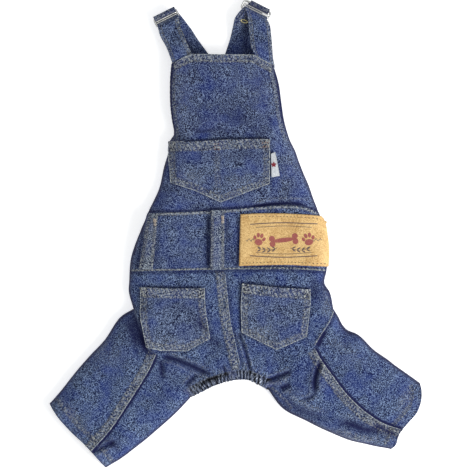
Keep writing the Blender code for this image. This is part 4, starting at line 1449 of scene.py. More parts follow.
@dataclass
class Bib:
    """The upper cloth from the bib's top hem to the waistband."""

    wall: float = 0.0011
    hem: float = 0.0060
    side_hem: float = 0.0040
    under_band: float = 0.0024

    @staticmethod
    def corner_rows() -> tuple[Line, Line]:
        """The rows that hold the turned-in upper corners, left and right."""
        return (Line.drawn(((174.5, 70), (188, 61.5), (200, 60.5)), 3),
                Line.drawn(((246, 61), (259, 62.5), (273, 72)), 3))

    def features(self) -> list[Feature]:
        """The bib's hems, soft creases, uneven dye, and the painted shadows of the pocket and the waistband.
        """
        left = BODY_LEFT.part(0.0, 0.30)
        right = BODY_RIGHT.part(0.0, 0.30).back()
        return [
            Band(TOP_HEM, -0.001, self.hem, 0.0005, lip_at=0.0003, fade=0.60),
            Band(left, -0.001, self.side_hem, 0.0003, rope=0.00012, fade=0.30, lip=0.1, lip_at=0.0016),
            Band(right, 0.0016, 0.0050, 0.0003, rope=0.00012, fade=0.42, lip=0.0),
            Groove(TOP_HEM.beside(self.hem - ROW_INSET), dark=0.5),
            *(Groove(row, 0.0002) for row in self.corner_rows()),
            Blotch((232, 112), 0.020, 0.016, dark=0.22),
            Blotch((195, 118), 0.018, 0.010, dark=0.14),
            Blotch((244, 121), 0.020, 0.0045, dark=0.35, turn_deg=-29),
            Blotch((240, 120), 0.005, 0.004, dark=0.3),
            Blotch((259, 133), 0.007, 0.004, dark=0.45),
            crease(((191, 129.5), (203, 131.6), (217, 128.0)), 0.4, 1.0, 0.7),
            Blotch((205, 72), 0.024, 0.008, dark=0.12),
            Blotch((262, 90), 0.014, 0.020, fade=0.10),
            Blotch((180, 96), 0.008, 0.030, fade=0.12),
            Blotch((290, 165), 0.008, 0.030, fade=0.10, turn_deg=-20),
            *CHEST_PLAN.shadow(),
            # Painted shadow of the raised waistband along its top edge, with a dip that widens it on the
            # right.
            Crease(BAND_TOP.moved((0, 0.0015)), 0.0005, 0.0012, 1.15, ends=0.02),
            crease(((246, 208.5), (258, 206), (274, 203.2), (292, 202.2), (312, 205)), 1.0, 1.5, 0.9),
            crease(((181, 206), (200, 205), (222, 205.5)), 0.4, 1.6, 0.3),
            Groove(BODY_LEFT.part(0.05, 0.30).beside(0.0030), 0.0003, 0.0008, dark=0.5),
            Crease(BODY_RIGHT.part(0.02, 0.24).beside(-0.0020), 0.0002, 0.0009, 0.5, 0.0, ends=0.1),
            crease(((168, 146), (166, 158), (163, 170)), 0.6, 1.6, 0.6),
            crease(((165, 168), (170, 172), (176, 178)), 0.4, 1.6, 0.3),
            crease(((160, 190), (170, 189), (182, 192)), 0.4, 2.0, 0.3),
        ]

    def build(self) -> None:
        """Builds the panel with its seams."""
        left = Line(BODY_LEFT.points[:WAIST_TOP_ROW * BENDS + 1])
        right = Line(BODY_RIGHT.points[:WAIST_TOP_ROW * BENDS + 1])
        across = spread(0.1, PITCH, True, True)
        down = np.linspace(0, 1, round(left.length / PITCH))
        plan = grid(left, right, Line.drawn(BIB_TOP), BAND_TOP, across, down)
        under = plan[-1:] - np.array((0.0, 1.0)) * np.array((0.0008, 0.0016, self.under_band))[:, None, None]
        features = self.features()
        draft = Draft()
        index = laid(draft, plan, features)
        below = laid(draft, under, features, np.array((-0.0006, -0.0010, -0.0012))[:, None])
        draft.skin(np.concatenate((index, below)))
        tucked(draft, plan[:, 0], index[:, 0], False)
        tucked(draft, plan[:, -1], index[:, -1], True)
        piece = draft.piece("bib", DENIM, self.wall)
        report(piece, "bib_panel")
        STITCHES.row(TOP_HEM.beside(self.hem - ROW_INSET).part(0.02, 0.98), 0, features)
        side_row = self.side_hem - 0.0006
        sides = (BODY_LEFT.part(0.02, 0.29).beside(side_row), BODY_RIGHT.part(0.02, 0.29).beside(-side_row))
        for row in (*self.corner_rows(), *sides):
            PALE_STITCHES.row(row, 0, features)
        EDGES.run(TOP_HEM.beside(0.0004).part(0.03, 0.97), 0.0001, features, 0.0005)


@dataclass
class Waistband:
    """The raised band across the waist."""

    lift: float = 0.0006
    wall: float = 0.0014
    margin: float = 0.0011

    def features(self) -> list[Feature]:
        """The band's sewn edges, rope marks, dye, and the painted shadows beside the belt loops and the
        patch.
        """
        top, low = BAND_TOP.back(), BAND_LOW
        return [
            Band(top, -0.0006, 0.0016, 0.0003, rope=0.00022, fade=0.55, lip=0.35, lip_at=0.0002),
            Band(low, -0.0006, 0.0012, 0.0002, rope=0.00026, fade=0.50, lip=0.60, lip_at=0.0002),
            *(Groove(line.beside(self.margin), 0.0003) for line in (top, low)),
            crease(((140, 226), (136, 240), (134, 262)), 0.5, 1.2, 0.5),
            # Painted shadows on the band beside the belt loops' edges, along the patch's left edge and below
            # the patch.
            crease(((145.6, 216), (141.5, 240), (137.4, 268)), 0.4, 1.0, 1.0, ends=0.03),
            crease(((160.6, 218), (158, 240), (154.4, 266)), 0.2, 0.9, 0.55, ends=0.1),
            crease(((208.4, 214), (208.0, 240), (208.2, 268)), 0.5, 1.5, 1.0, ends=0.1),
            crease(((226.4, 214), (226.6, 228), (226.4, 244)), 0.4, 1.1, 0.9),
            crease(((238.6, 216), (238.0, 240), (237.2, 266)), 0.3, 1.0, 0.95, ends=0.05),
            crease(((238, 267.2), (278, 266.4), (322, 268.2)), 0.3, 0.9, 0.9, ends=0.05),
            crease(((150, 222), (170, 224), (190, 222)), 0.3, 2.5, 0.15),
            crease(((182, 226), (187, 232), (190, 240)), 0.4, 2.2, 0.25),
            Blotch((160, 260), 0.012, 0.005, dark=0.4),
            Blotch((234, 250), 0.008, 0.016, dark=0.35),
            Blotch((183, 240), 0.018, 0.016, dark=0.10),
            Blotch((205, 262), 0.004, 0.006, dark=0.4),
        ]

    def build(self) -> None:
        """Builds the band with its seams."""
        first, last = WAIST_TOP_ROW * BENDS, WAIST_LOW_ROW * BENDS + 1
        left, right = Line(BODY_LEFT.points[first:last]), Line(BODY_RIGHT.points[first:last])
        top, bottom = BAND_TOP, BAND_LOW
        across = spread(0.14, PITCH, True, True)
        down = spread(left.length, PITCH * 0.85)
        plan = grid(left, right, top, bottom, across, down)
        features = self.features()
        draft = Draft()
        side = LIE.nearest(plan.reshape(-1, 2))[0].reshape(plan.shape[:2])
        index = laid(draft, plan, features, self.lift * ease(side / 0.004))
        draft.skin(index)
        tucked(draft, plan[:, 0], index[:, 0], False)
        tucked(draft, plan[:, -1], index[:, -1], True)
        piece = draft.piece("waistband_cloth", BAND_DENIM, self.wall, shift=0.31)
        report(piece, "waistband")
        STITCHES.row(top.back().beside(self.margin + 0.0008).part(0.03, 0.97), self.lift, features)
        LIGHT_STITCHES.row(bottom.beside(0.0007).part(0.01, 0.99), self.lift, features)
        EDGES.run(top.back().beside(0.0011).part(0.01, 0.99), self.lift, features, 0.00045)


@dataclass
class SeatAndLeg:
    """One half of the seat with its leg, cut from one cloth and turned under at the leg."""

    side: str
    flip: bool
    body: Line
    groin: Marks
    tail: Marks
    outer: Line
    inner: Line
    cuff: Marks
    fell: Marks
    turn_deg: float
    pocket: PocketPlan
    hem_width: float = 0.008
    cuff_hem: float = 0.0072
    fell_width: float = 0.0064
    fell_rows: tuple[float, float] = (0.0016, 0.0055)
    centre_rows: tuple[float, float] = (0.0017, 0.0062)
    wall: float = 0.0011
    over_waist: float = 0.0024
    area: float = 0.0

    @staticmethod
    def centre_edge() -> Line:
        """The right edge of the centre's felled seam, from the tail up."""
        return Line.drawn(((240.8, 368), (235.4, 342), (230.4, 320), (224.9, 270)), 3)

    def features(self) -> list[Feature]:
        """The leg's felled seam and hem, the centre seam and the gathers at the tail."""
        fell = Line.drawn(self.fell, 3).back()
        centre = self.centre_edge()
        cuff = Line.drawn(self.cuff, 3)
        tail = Line.drawn(((190, 388), (204, 378.4), (226, 371.6), (238.1, 369), (250, 369.9),
                           (262.1, 375.1), (270, 381)), 3)
        made: list[Feature] = [
            Band(fell, 0.0, self.fell_width, 0.00045, soft=0.0005, fade=0.66, lip=0.2, finish=0.004),
            *(Groove(fell.beside(row), 0.0001, 0.0005, dark=0.35) for row in self.fell_rows),
            # Painted shadow just past the felled seam's raised edge, and below the waistband's lower edge.
            Overlap(fell, 0.0004, 0.0006, 0.006, 0.95, 0.0, 0.05),
            Crease(fell.beside(-0.0010), 0.0002, 0.0009, 1.7, ends=0.02),
            Crease(BAND_LOW.moved((0, -0.0012)), 0.0004, 0.0011, 1.1, ends=0.02),
            *self.pocket.shadow(),
            Band(cuff, -0.001, self.cuff_hem, 0.00035, rope=0.00016, fade=0.08, lip=0.15, lip_at=0.0014),
            Band(cuff, self.cuff_hem - 0.0012, self.cuff_hem + 0.0020, 0.0, rope=0.0, fade=0.42, lip=0.0),
            # Painted shade along the cuff's folded edge.
            Crease(cuff, 0.0, 0.0007, 0.8, ends=0.02),
            Groove(cuff.beside(self.cuff_hem - 0.0006), 0.0001, 0.0006, dark=0.5),
            Gathers(tail, 0.0004, 0.0030, 0.0035, 0.35),
        ]
        if not self.flip:
            made += [
                crease(((84, 440), (98, 432), (112, 420)), 0.0, 3.0, 0.10),
                Band(centre, 0.0, 0.0074, 0.00045, soft=0.0006, fade=0.64, lip=0.2),
                *(Groove(centre.beside(row), 0.0001, 0.0005, dark=0.35) for row in self.centre_rows),
                Crease(centre.beside(0.0038), 0.0002, 0.0007, 0.25, ends=0.05),
                # Painted shadow just past the centre seam's raised edge.
                Crease(centre.beside(-0.0009), 0.0001, 0.0008, 1.3, ends=0.05),
                Blotch((214, 342), 0.008, 0.014, dark=0.45),
                Blotch((170, 385), 0.012, 0.012, dark=0.25),
                Blotch((108, 352), 0.016, 0.014, fade=0.10),
                # Painted shadow on the leg where the seat overlaps it, and painted shade in the dips beside
                # the folds.
                Blotch((130, 328), 0.005, 0.015, dark=0.75, turn_deg=22),
                Blotch((140, 345), 0.005, 0.008, dark=0.55, turn_deg=30),
                Blotch((166, 367), 0.006, 0.008, dark=0.55),
                Blotch((188, 378), 0.010, 0.006, dark=0.35, turn_deg=-20),
                Blotch((115, 442), 0.008, 0.006, dark=0.35),
                Blotch((75, 415), 0.014, 0.003, fade=0.25, turn_deg=-48),
            ]
        else:
            made += [
                crease(((312, 349), (322, 361), (330, 371)), 0.0, 2.5, 0.0, 0.15),
                # Painted shadow just past the centre seam's raised edge and where the seat overlaps the leg,
                # and painted shade in the dips beside the folds.
                Crease(centre.beside(-0.0010), 0.0003, 0.0009, 0.9, ends=0.05),
                Blotch((318, 290), 0.006, 0.012, dark=0.5, turn_deg=25),
                crease(((326, 330), (320.5, 338), (319, 348)), 0.3, 2.2, 1.5),
                # A wide painted shade that tones down the light on the right leg.
                Blotch((372, 392), 0.045, 0.030, dark=0.14, turn_deg=-35),
                Blotch((314, 372), 0.005, 0.014, dark=0.55),
                Blotch((300, 384), 0.012, 0.008, dark=0.25),
                Blotch((316, 296), 0.006, 0.012, dark=0.35),
                Blotch((326, 300), 0.003, 0.012, fade=0.25),
                Blotch((280, 388), 0.008, 0.004, dark=0.3),
                # Painted shade along the long fold above the leg's lower edge.
                Blotch((357, 426), 0.020, 0.0042, dark=0.62, turn_deg=-14),
                Blotch((345, 435), 0.030, 0.0030, fade=0.22, turn_deg=-14),
                Blotch((300, 412), 0.016, 0.004, dark=0.35, turn_deg=-25),
                Blotch((345, 350), 0.016, 0.006, fade=0.12, turn_deg=-38),
                Blotch((404, 398), 0.003, 0.010, fade=0.30, turn_deg=-25),
                Band(Line.drawn(((272, 387), (280, 394), (288, 403), (292, 409)), 3).back(), 0.0, 0.0016,
                     0.0003, fade=0.5, lip=0.5),
            ]
        return made

    def build(self) -> None:
        """Builds the seat half and the leg's tube as one cloth."""
        side = Line(self.body.points[WAIST_LOW_ROW * BENDS:])
        groin = Line.drawn(self.groin)
        hem_share = 1 - self.hem_width / groin.length
        above_hem = spread(groin.length * hem_share, PITCH, True) * hem_share
        in_hem = hem_share + spread(self.hem_width, PITCH, False, True)[1:] * (1 - hem_share)
        groin_shares = np.concatenate((above_hem, in_hem))
        shared = int(np.sum(groin_shares <= hem_share + 1e-9))
        upper_groin = groin.at(groin_shares[:shared])
        side_rows = np.linspace(0, 1, round(side.length / PITCH) + 1)
        outer_points = np.vstack((side.at(side_rows), upper_groin[1:]))
        outer = Line(outer_points)
        down = outer.runs / outer.length
        centre = Line.drawn(CENTRE_SEAM, 3)
        top = BAND_LOW
        meet = float(top.near(centre.points[:1]).run[0] / top.length)
        top = top.part(0.0, meet) if not self.flip else top.part(meet, 1.0).back()
        centre = Line(np.vstack((top.points[-1:], centre.points[1:])))
        if not self.flip:
            centre = centre.moved((0.0006, 0.0))
        tail = [spot(mark) for mark in self.tail]
        bottom = Line(np.vstack((outer_points[-1:], tail, centre.points[-1:])))
        across = spread(0.070, PITCH, True)
        plan = grid(outer, centre, top, bottom, across, down)
        features = self.features()
        draft = Draft()
        index = laid(draft, plan, features)
        hidden = plan[:1] + np.array((0.0, 1.0)) * np.array((self.over_waist, 0.0016, 0.0008))[:, None, None]
        above = laid(draft, hidden, features, np.array((-0.0012, -0.0010, -0.0006))[:, None])
        draft.skin(np.concatenate((above, index)), self.flip)
        count = len(side_rows)
        tucked(draft, side.at(side_rows), index[:count, 0], self.flip)
        self.add_leg(draft, features, index[count - 1:, 0], groin, groin_shares, shared)
        piece = draft.piece(f"seat_and_leg_{self.side}", LEG_DENIM, self.wall, self.turn_deg, shift=0.17)
        report(piece, f"seat_{self.side}", f"leg_{self.side}")
        self.sew(features)

    def add_leg(self, draft: Draft, features: Sequence[Feature], joint: Array, groin: Line,
                groin_shares: Array, shared: int) -> None:
        """Adds the leg's flattened tube, sewn on at the indices of the seat's edge.

        Args:
            draft: the draft of the seat half.
            features: the relief of the cloth.
            joint: indices of the seat's edge along the groin.
            groin: the groin line.
            groin_shares: shares along it of the tube's upper columns.
            shared: how many of them the seat's edge has.
        """
        cuff = Line.drawn(self.cuff, 6)
        if self.flip:
            cuff = cuff.back()
        cuff = Line(np.vstack((self.outer.points[-1], cuff.points[1:-1], self.inner.points[-1])))
        rows = spread(self.outer.length, PITCH)
        plan = grid(self.outer, self.inner, groin, cuff, groin_shares, rows)
        first_rest = laid(draft, plan[:1, shared:], features)
        rest = laid(draft, plan[1:], features)
        upper = np.concatenate((np.concatenate((joint[None], first_rest), axis=1), rest))
        under_shares = spread(0.06, 0.0022, True, True)[1:-1][::-1]
        under_plan = grid(self.outer, self.inner, groin, cuff, under_shares, rows)
        flat = under_plan.reshape(-1, 2)
        under = draft.add(LIE.under(flat).reshape(*under_plan.shape[:2], 3))
        draft.skin(np.concatenate((upper, under), axis=1), self.flip, True)

    def sew(self, features: Sequence[Feature]) -> None:
        """Adds the rows of stitches along the felled seam and the cuff's hem."""
        fell = Line.drawn(self.fell, 3).back()
        for row in self.fell_rows:
            STITCHES.row(fell.beside(row).part(0.02, 0.99), 0, features)
        EDGES.run(fell.beside(0.0003), 0.0001, features)
        cuff = Line.drawn(self.cuff, 3)
        PALE_STITCHES.row(cuff.beside(self.cuff_hem - 0.0006).part(0.06, 0.94), 0, features)
        if not self.flip:
            centre = self.centre_edge()
            for row in self.centre_rows:
                STITCHES.row(centre.beside(row).part(0.02, 0.97), 0, features)
            EDGES.run(centre.beside(0.0003).part(0.02, 0.99), 0.0001, features, 0.0005)
        else:
            edge = Line.drawn(((315, 345), (319, 338), (324.6, 329.2), (330, 320), (333, 311)), 3)
            EDGES.run(edge.beside(0.0006), 0.0001, features, 0.0005)


@dataclass
class Belly:
    """The hidden under cloth from the shoulders to the tail hem."""

    wall: float = 0.0011

    def build(self) -> None:
        """Builds the panel, with its outer face down."""
        sides = []
        for shoulder, body, groin in ((SHOULDER_LEFT, BODY_LEFT, GROIN_LEFT),
                                      (SHOULDER_RIGHT, BODY_RIGHT, GROIN_RIGHT)):
            low = Line.drawn(groin)
            upper = Line.drawn(shoulder, BENDS)
            lower = Line(body.points[5 * BENDS:])
            sides.append(upper.joined(lower, low.part(0.0, 1 - 0.008 / low.length)))
        top = Line.drawn((SHOULDER_LEFT[0], (217, 70.5), SHOULDER_RIGHT[0]), 6)
        tail = [spot(mark) for mark in (*TAIL_SEAM_LEFT, CENTRE_SEAM[2], *TAIL_SEAM_RIGHT)]
        bottom = Line(np.vstack((sides[0].points[-1:], tail, sides[1].points[-1:])))
        across = spread(0.13, 0.0022, True, True)
        down = np.linspace(0, 1, 118)
        plan = grid(sides[0], sides[1], top, bottom, across, down)
        flat = plan.reshape(-1, 2)
        relief = relief_of(flat, (
            Band(top.back(), -0.001, 0.0045, 0.0, fade=0.3),
            Band(Line.drawn(SHOULDER_LEFT, 3), -0.001, 0.004, 0.0),
            Band(Line.drawn(SHOULDER_RIGHT, 3).back(), -0.001, 0.004, 0.0)), False)
        draft = Draft()
        index = draft.add(LIE.under(flat, 0.00005).reshape(*plan.shape[:2], 3), relief)
        draft.skin(index, True)
        piece = draft.piece("belly", DENIM, self.wall, shift=0.53)
        report(piece, "belly_panel")


@dataclass
class TailHem:
    """The gathered hem round the tail opening, in its upper and its under strip."""

    width: float = 0.008
    ruffle: float = 0.0010
    period: float = 0.0029
    wall: float = 0.001

    def build(self) -> None:
        """Builds both strips."""
        ends = []
        for groin in (GROIN_LEFT, GROIN_RIGHT):
            line = Line.drawn(groin)
            ends.append(line.part(1 - self.width / line.length, 1.0))
        seam = [spot(mark) for mark in (*TAIL_SEAM_LEFT, CENTRE_SEAM[2], *TAIL_SEAM_RIGHT)]
        start = Line(np.vstack((ends[0].points[:1], seam, ends[1].points[:1])))
        finish = Line.drawn(TAIL_LINE, BENDS)
        across = spread(start.length, 0.00034)
        down = np.linspace(-0.12, 1, 26)
        plan = grid(ends[0], ends[1], start, finish, across, np.maximum(down, 0))
        step = plan[3] - plan[4]
        plan[:3] = plan[3] + step * np.array((2.4, 1.6, 0.8))[:, None, None]
        flat = plan.reshape(-1, 2)
        features = (
            Gathers(finish, self.ruffle, self.period, 0.02, 0.85, 0.6, 0.35),
            Gathers(finish, self.ruffle * 0.5, self.period * 0.62, 0.02, 0.55, 0.3, -0.3),
            Crease(start.beside(-0.0015), 0.0004, 0.0007, 0.5),
            Crease(start.beside(-0.0062), 0.00035, 0.0006, 0.35),
        )
        relief = relief_of(flat, features)
        t = np.broadcast_to(down[:, None], plan.shape[:2]).reshape(-1)
        sunk = np.where(t < 0, -0.0012, 0.0)
        draft = Draft()
        places = LIE.upper(flat, relief.height * ease(t * 4 + 0.4) + sunk + 0.0001)
        draft.skin(draft.add(places.reshape(*plan.shape[:2], 3), relief))
        upper = draft.piece("tail_ruffle", RUFFLE_DENIM, self.wall, shift=0.7)
        report(upper, "tail_hem_upper")
        draft = Draft()
        kept = plan[3:].reshape(-1, 2)
        relief = relief_of(kept, features, False)
        low = LIE.under(kept, 0.0007 + relief.height * 0.8)
        low[:, 2] = np.maximum(low[:, 2], 0.0)
        index = draft.add(low.reshape(-1, plan.shape[1], 3), relief)
        draft.skin(index, True)
        under = draft.piece("tail_ruffle_under", RUFFLE_DENIM, self.wall, shift=0.9)
        report(under, "tail_hem_lower")


@dataclass
class PatchPocket:
    """A patch pocket with a hemmed mouth, a turned-in edge and a bottom point."""

    name: str
    node: str
    plan: PocketPlan
    hem: float
    rests_on: str
    size: tuple[float, float]
    area: float
    edge: float = 0.0017
    row_gap: float = 0.0024
    lift: float = 0.0016
    wall: float = 0.001
    extra: tuple[Feature, ...] = ()
    tacks: tuple[Marks, ...] = ()

    def features(self) -> list[Feature]:
        """The pocket's hem, sewn edge and wear."""
        rim = self.plan.rim()
        mouth = Line.drawn(self.plan.mouth).back()
        return [
            Band(mouth, -0.001, self.hem, 0.0003, fade=0.62, lip=0.2, lip_at=0.0003),
            Band(rim, -0.001, 0.0052, 0.0, rope=0.0002, fade=0.42, lip=0.2, lip_at=0.0003),
            Groove(rim.beside(self.edge), 0.0003, dark=0.3),
            Groove(rim.beside(self.edge + self.row_gap), 0.0002, dark=0.35),
            Groove(mouth.beside(self.hem - ROW_INSET), dark=0.35),
            *self.extra,
        ]

    def build(self) -> None:
        """Builds the pocket with its rows of stitches."""
        left, right = Line.drawn(self.plan.left), Line.drawn(self.plan.right)
        top, bottom = Line.drawn(self.plan.mouth, 3), Line.drawn(self.plan.bottom)
        across = spread(top.length, PITCH * 0.8)
        down = spread(left.length, PITCH * 0.8)
        plan = grid(left, right, top, bottom, across, down)
        rim = self.plan.rim()
        features = self.features()
        flat = plan.reshape(-1, 2)
        near = rim.near(flat)
        mouth = Line.drawn(self.plan.mouth).near(flat).distance
        rolled = 0.0009 * (1 - quarter(near.distance, 0.0011)) * ease(mouth / 0.004)
        bag = 0.0006 * ease((near.distance - 0.002) / 0.008)
        lift = (self.lift - rolled + bag).reshape(plan.shape[:2])
        draft = Draft()
        draft.skin(laid(draft, plan, features, lift))
        piece = draft.piece(self.name, POCKET_DENIM, self.wall, shift=0.11 * len(self.name))
        report(piece, self.node)
        STITCHES.row(rim.beside(self.edge).part(0.01, 0.99), self.lift - 0.0001, features)
        STITCHES.row(rim.beside(self.edge + self.row_gap).part(0.08, 0.92), self.lift, features)
        mouth_line = Line.drawn(self.plan.mouth, 3).back()
        STITCHES.row(mouth_line.beside(self.hem - ROW_INSET).part(0.03, 0.97), self.lift + 0.0003, features)
        EDGES.run(rim.beside(0.0004), self.lift - 0.0001, features, 0.0006)
        EDGES.run(mouth_line.beside(0.0004), self.lift, features, 0.0005)
        for start, end in self.tacks:
            BarTack(start, end, self.lift + 0.0007, RUST_TACKS).build()


@dataclass
class BeltLoop:
    """A belt loop that stands off from the waistband between its sewn ends."""

    name: str
    node: str
    left: Marks
    right: Marks
    tack: Marks
    lift: float = 0.0011
    rise: float = 0.0012
    wall: float = 0.0012

    def stand(self, points: Array) -> Array:
        """Height of the loop's face above the upper cloth at plan points."""
        run = Line.drawn(self.left).near(points).run / Line.drawn(self.left).length
        return self.lift + self.wall + self.rise * ease(np.minimum(run, 1 - run) * 4)

    def build(self) -> None:
        """Builds the loop with its two rows of stitches and its bar tack."""
        left, right = Line.drawn(self.left), Line.drawn(self.right)
        top, bottom = Line.drawn((self.left[0], self.right[0])), Line.drawn((self.left[1], self.right[1]))
        across, down = spread(bottom.length, 0.00055), spread(left.length, 0.0007)
        plan = grid(left, right, top, bottom, across, down)
        s, t = across[None, :], down[:, None]
        rolled = 0.0005 * quarter(np.minimum(s, 1 - s) * bottom.length, 0.0014)
        uneven = 0.00015 * np.sin(t * 70 + s * 3)
        lift = self.stand(plan.reshape(-1, 2)).reshape(plan.shape[:2]) + rolled + uneven
        sides = (left, right.back())
        rows = [side.beside(0.0019) for side in sides]
        features: list[Feature] = [
            *(Band(side, -0.001, 0.0016, 0.0, rope=0.00012, fade=0.5, lip=0.2, lip_at=0.0003)
              for side in sides),
            # Painted shade along the loop's two folded edges.
            Crease(left, 0.0, 0.0006, 0.9, ends=0.01),
            Crease(right, 0.0, 0.0005, 0.7, ends=0.01),
            *(Groove(row, 0.0003, 0.0006, dark=0.6) for row in rows),
            Blotch((self.left[1][0] + 6, self.left[1][1] - 10), 0.0035, 0.005, dark=0.3),
        ]
        draft = Draft()
        draft.skin(laid(draft, plan, features, lift))
        piece = draft.piece(self.name, LOOP_DENIM, self.wall, shift=0.4)
        report(piece, self.node)
        for row in rows:
            STITCHES.row(row.part(0.14, 0.86), self.lift + self.wall + self.rise + 0.0003)
        middle = np.array([spot(self.tack[0])])
        BarTack(*self.tack, float(self.stand(middle)[0]) + 0.0009, BAR_TACKS).build()


@dataclass
class LeatherPatch:
    """The tan patch on the waistband, with its sewn edges and a printed pattern."""

    lift: float = 0.0022
    wall: float = 0.0011
    margin: float = 0.0022
    left: Marks = ((240.3, 214.4), (239.6, 240.0), (238.9, 266.0))
    right: Marks = ((319.2, 216.6), (323.4, 222.6), (325.6, 235.0), (326.6, 250.0), (326.6, 266.6))
    top: Marks = ((240.3, 214.4), (262.0, 213.4), (285.0, 213.6), (305.0, 214.8), (319.2, 216.6))
    bottom: Marks = ((238.9, 266.0), (262.0, 265.2), (285.0, 264.8), (305.0, 265.6), (326.6, 266.6))

    def outline(self) -> Line:
        """The patch's outline, with its heading such that the leather is on the left."""
        return Line.drawn((*self.left, *self.bottom[1:], *self.right[::-1][1:], *self.top[::-1][1:]))

    def build(self) -> None:
        """Builds the leather, its sewn rows and its print."""
        left, right = Line.drawn(self.left, 3), Line.drawn(self.right, 3)
        top, bottom = Line.drawn(self.top, 3), Line.drawn(self.bottom, 3)
        across, down = spread(0.064, PITCH * 0.8, False, True), spread(left.length, PITCH * 0.8)
        plan = grid(left, right, top, bottom, across, down)
        rim = self.outline()
        flat = plan.reshape(-1, 2)
        near = rim.near(flat)
        features: list[Feature] = [
            Groove(top.moved((0, -self.margin)), 0.0002, 0.0008, 0.0026, 0.12),
            Groove(bottom.moved((0, self.margin)), 0.0002, 0.0008, 0.0026, 0.12),
            Crease(top, 0.0002, 0.0005, 0.6, ends=1e-6),
            Crease(bottom, 0.0002, 0.0005, 0.8, ends=1e-6),
            Crease(left, 0.0002, 0.0005, 0.8, ends=1e-6),
        ]
        lift = self.lift - 0.0004 * (1 - quarter(near.distance, 0.0007)).reshape(plan.shape[:2])
        draft = Draft()
        flat_relief = relief_of(flat, features, False)
        places = LIE.upper(flat, lift.reshape(-1) + flat_relief.height)
        draft.skin(draft.add(places.reshape(*plan.shape[:2], 3), flat_relief))
        piece = draft.piece("tan_patch", TAN, self.wall, slot=Slot.LEATHER)
        report(piece, "leather_patch")
        DARK_STITCHES.row(top.moved((0, -self.margin)).part(0.04, 0.97), self.lift - 0.0002)
        DARK_STITCHES.row(bottom.moved((0, self.margin)).part(0.03, 0.98), self.lift - 0.0002)
        self.print_pattern()

    def print_pattern(self) -> None:
        """Prints two paws, a bone, leaf sprigs and plain rules in ink on the leather."""
        red = Print("patch_print_red", Ink("reddish ink", (150, 76, 72), (176, 106, 88)), self.lift + 0.00006)
        line = Print("patch_print_line", Ink("dark ink", (84, 70, 74), (122, 98, 86)), self.lift + 0.00006)
        for mark, size, turn in (((259, 240), 1.0, 12), ((308, 240), 1.0, -12)):
            red.paw(mark, size, turn)
        red.bone((283.5, 240), 23.0, 11.0, -7)
        for left, step, row, bow, width in ((250, 3.3, 224.4, -1.6, 0.9), (256, 2.75, 227.6, -1.6, 0.5),
                                            (250, 3.3, 255.6, 1.5, 0.9), (256, 2.75, 252.4, 1.5, 0.5)):
            rule = [(left + step * k, row + bow * math.sin(k / 20 * math.pi)) for k in range(21)]
            line.stroke(rule, width)
        for start, way in (((277, 248.6), -1), ((290, 248.6), 1)):
            line.sprig(start, way)
        for start, end in ((246, 254), (312, 320)):
            curl = [(start + k * (end - start) / 8, 240 + 1.4 * math.sin(k * 1.6)) for k in range(9)]
            line.stroke(curl, 0.6)
        red.build()
        line.build()


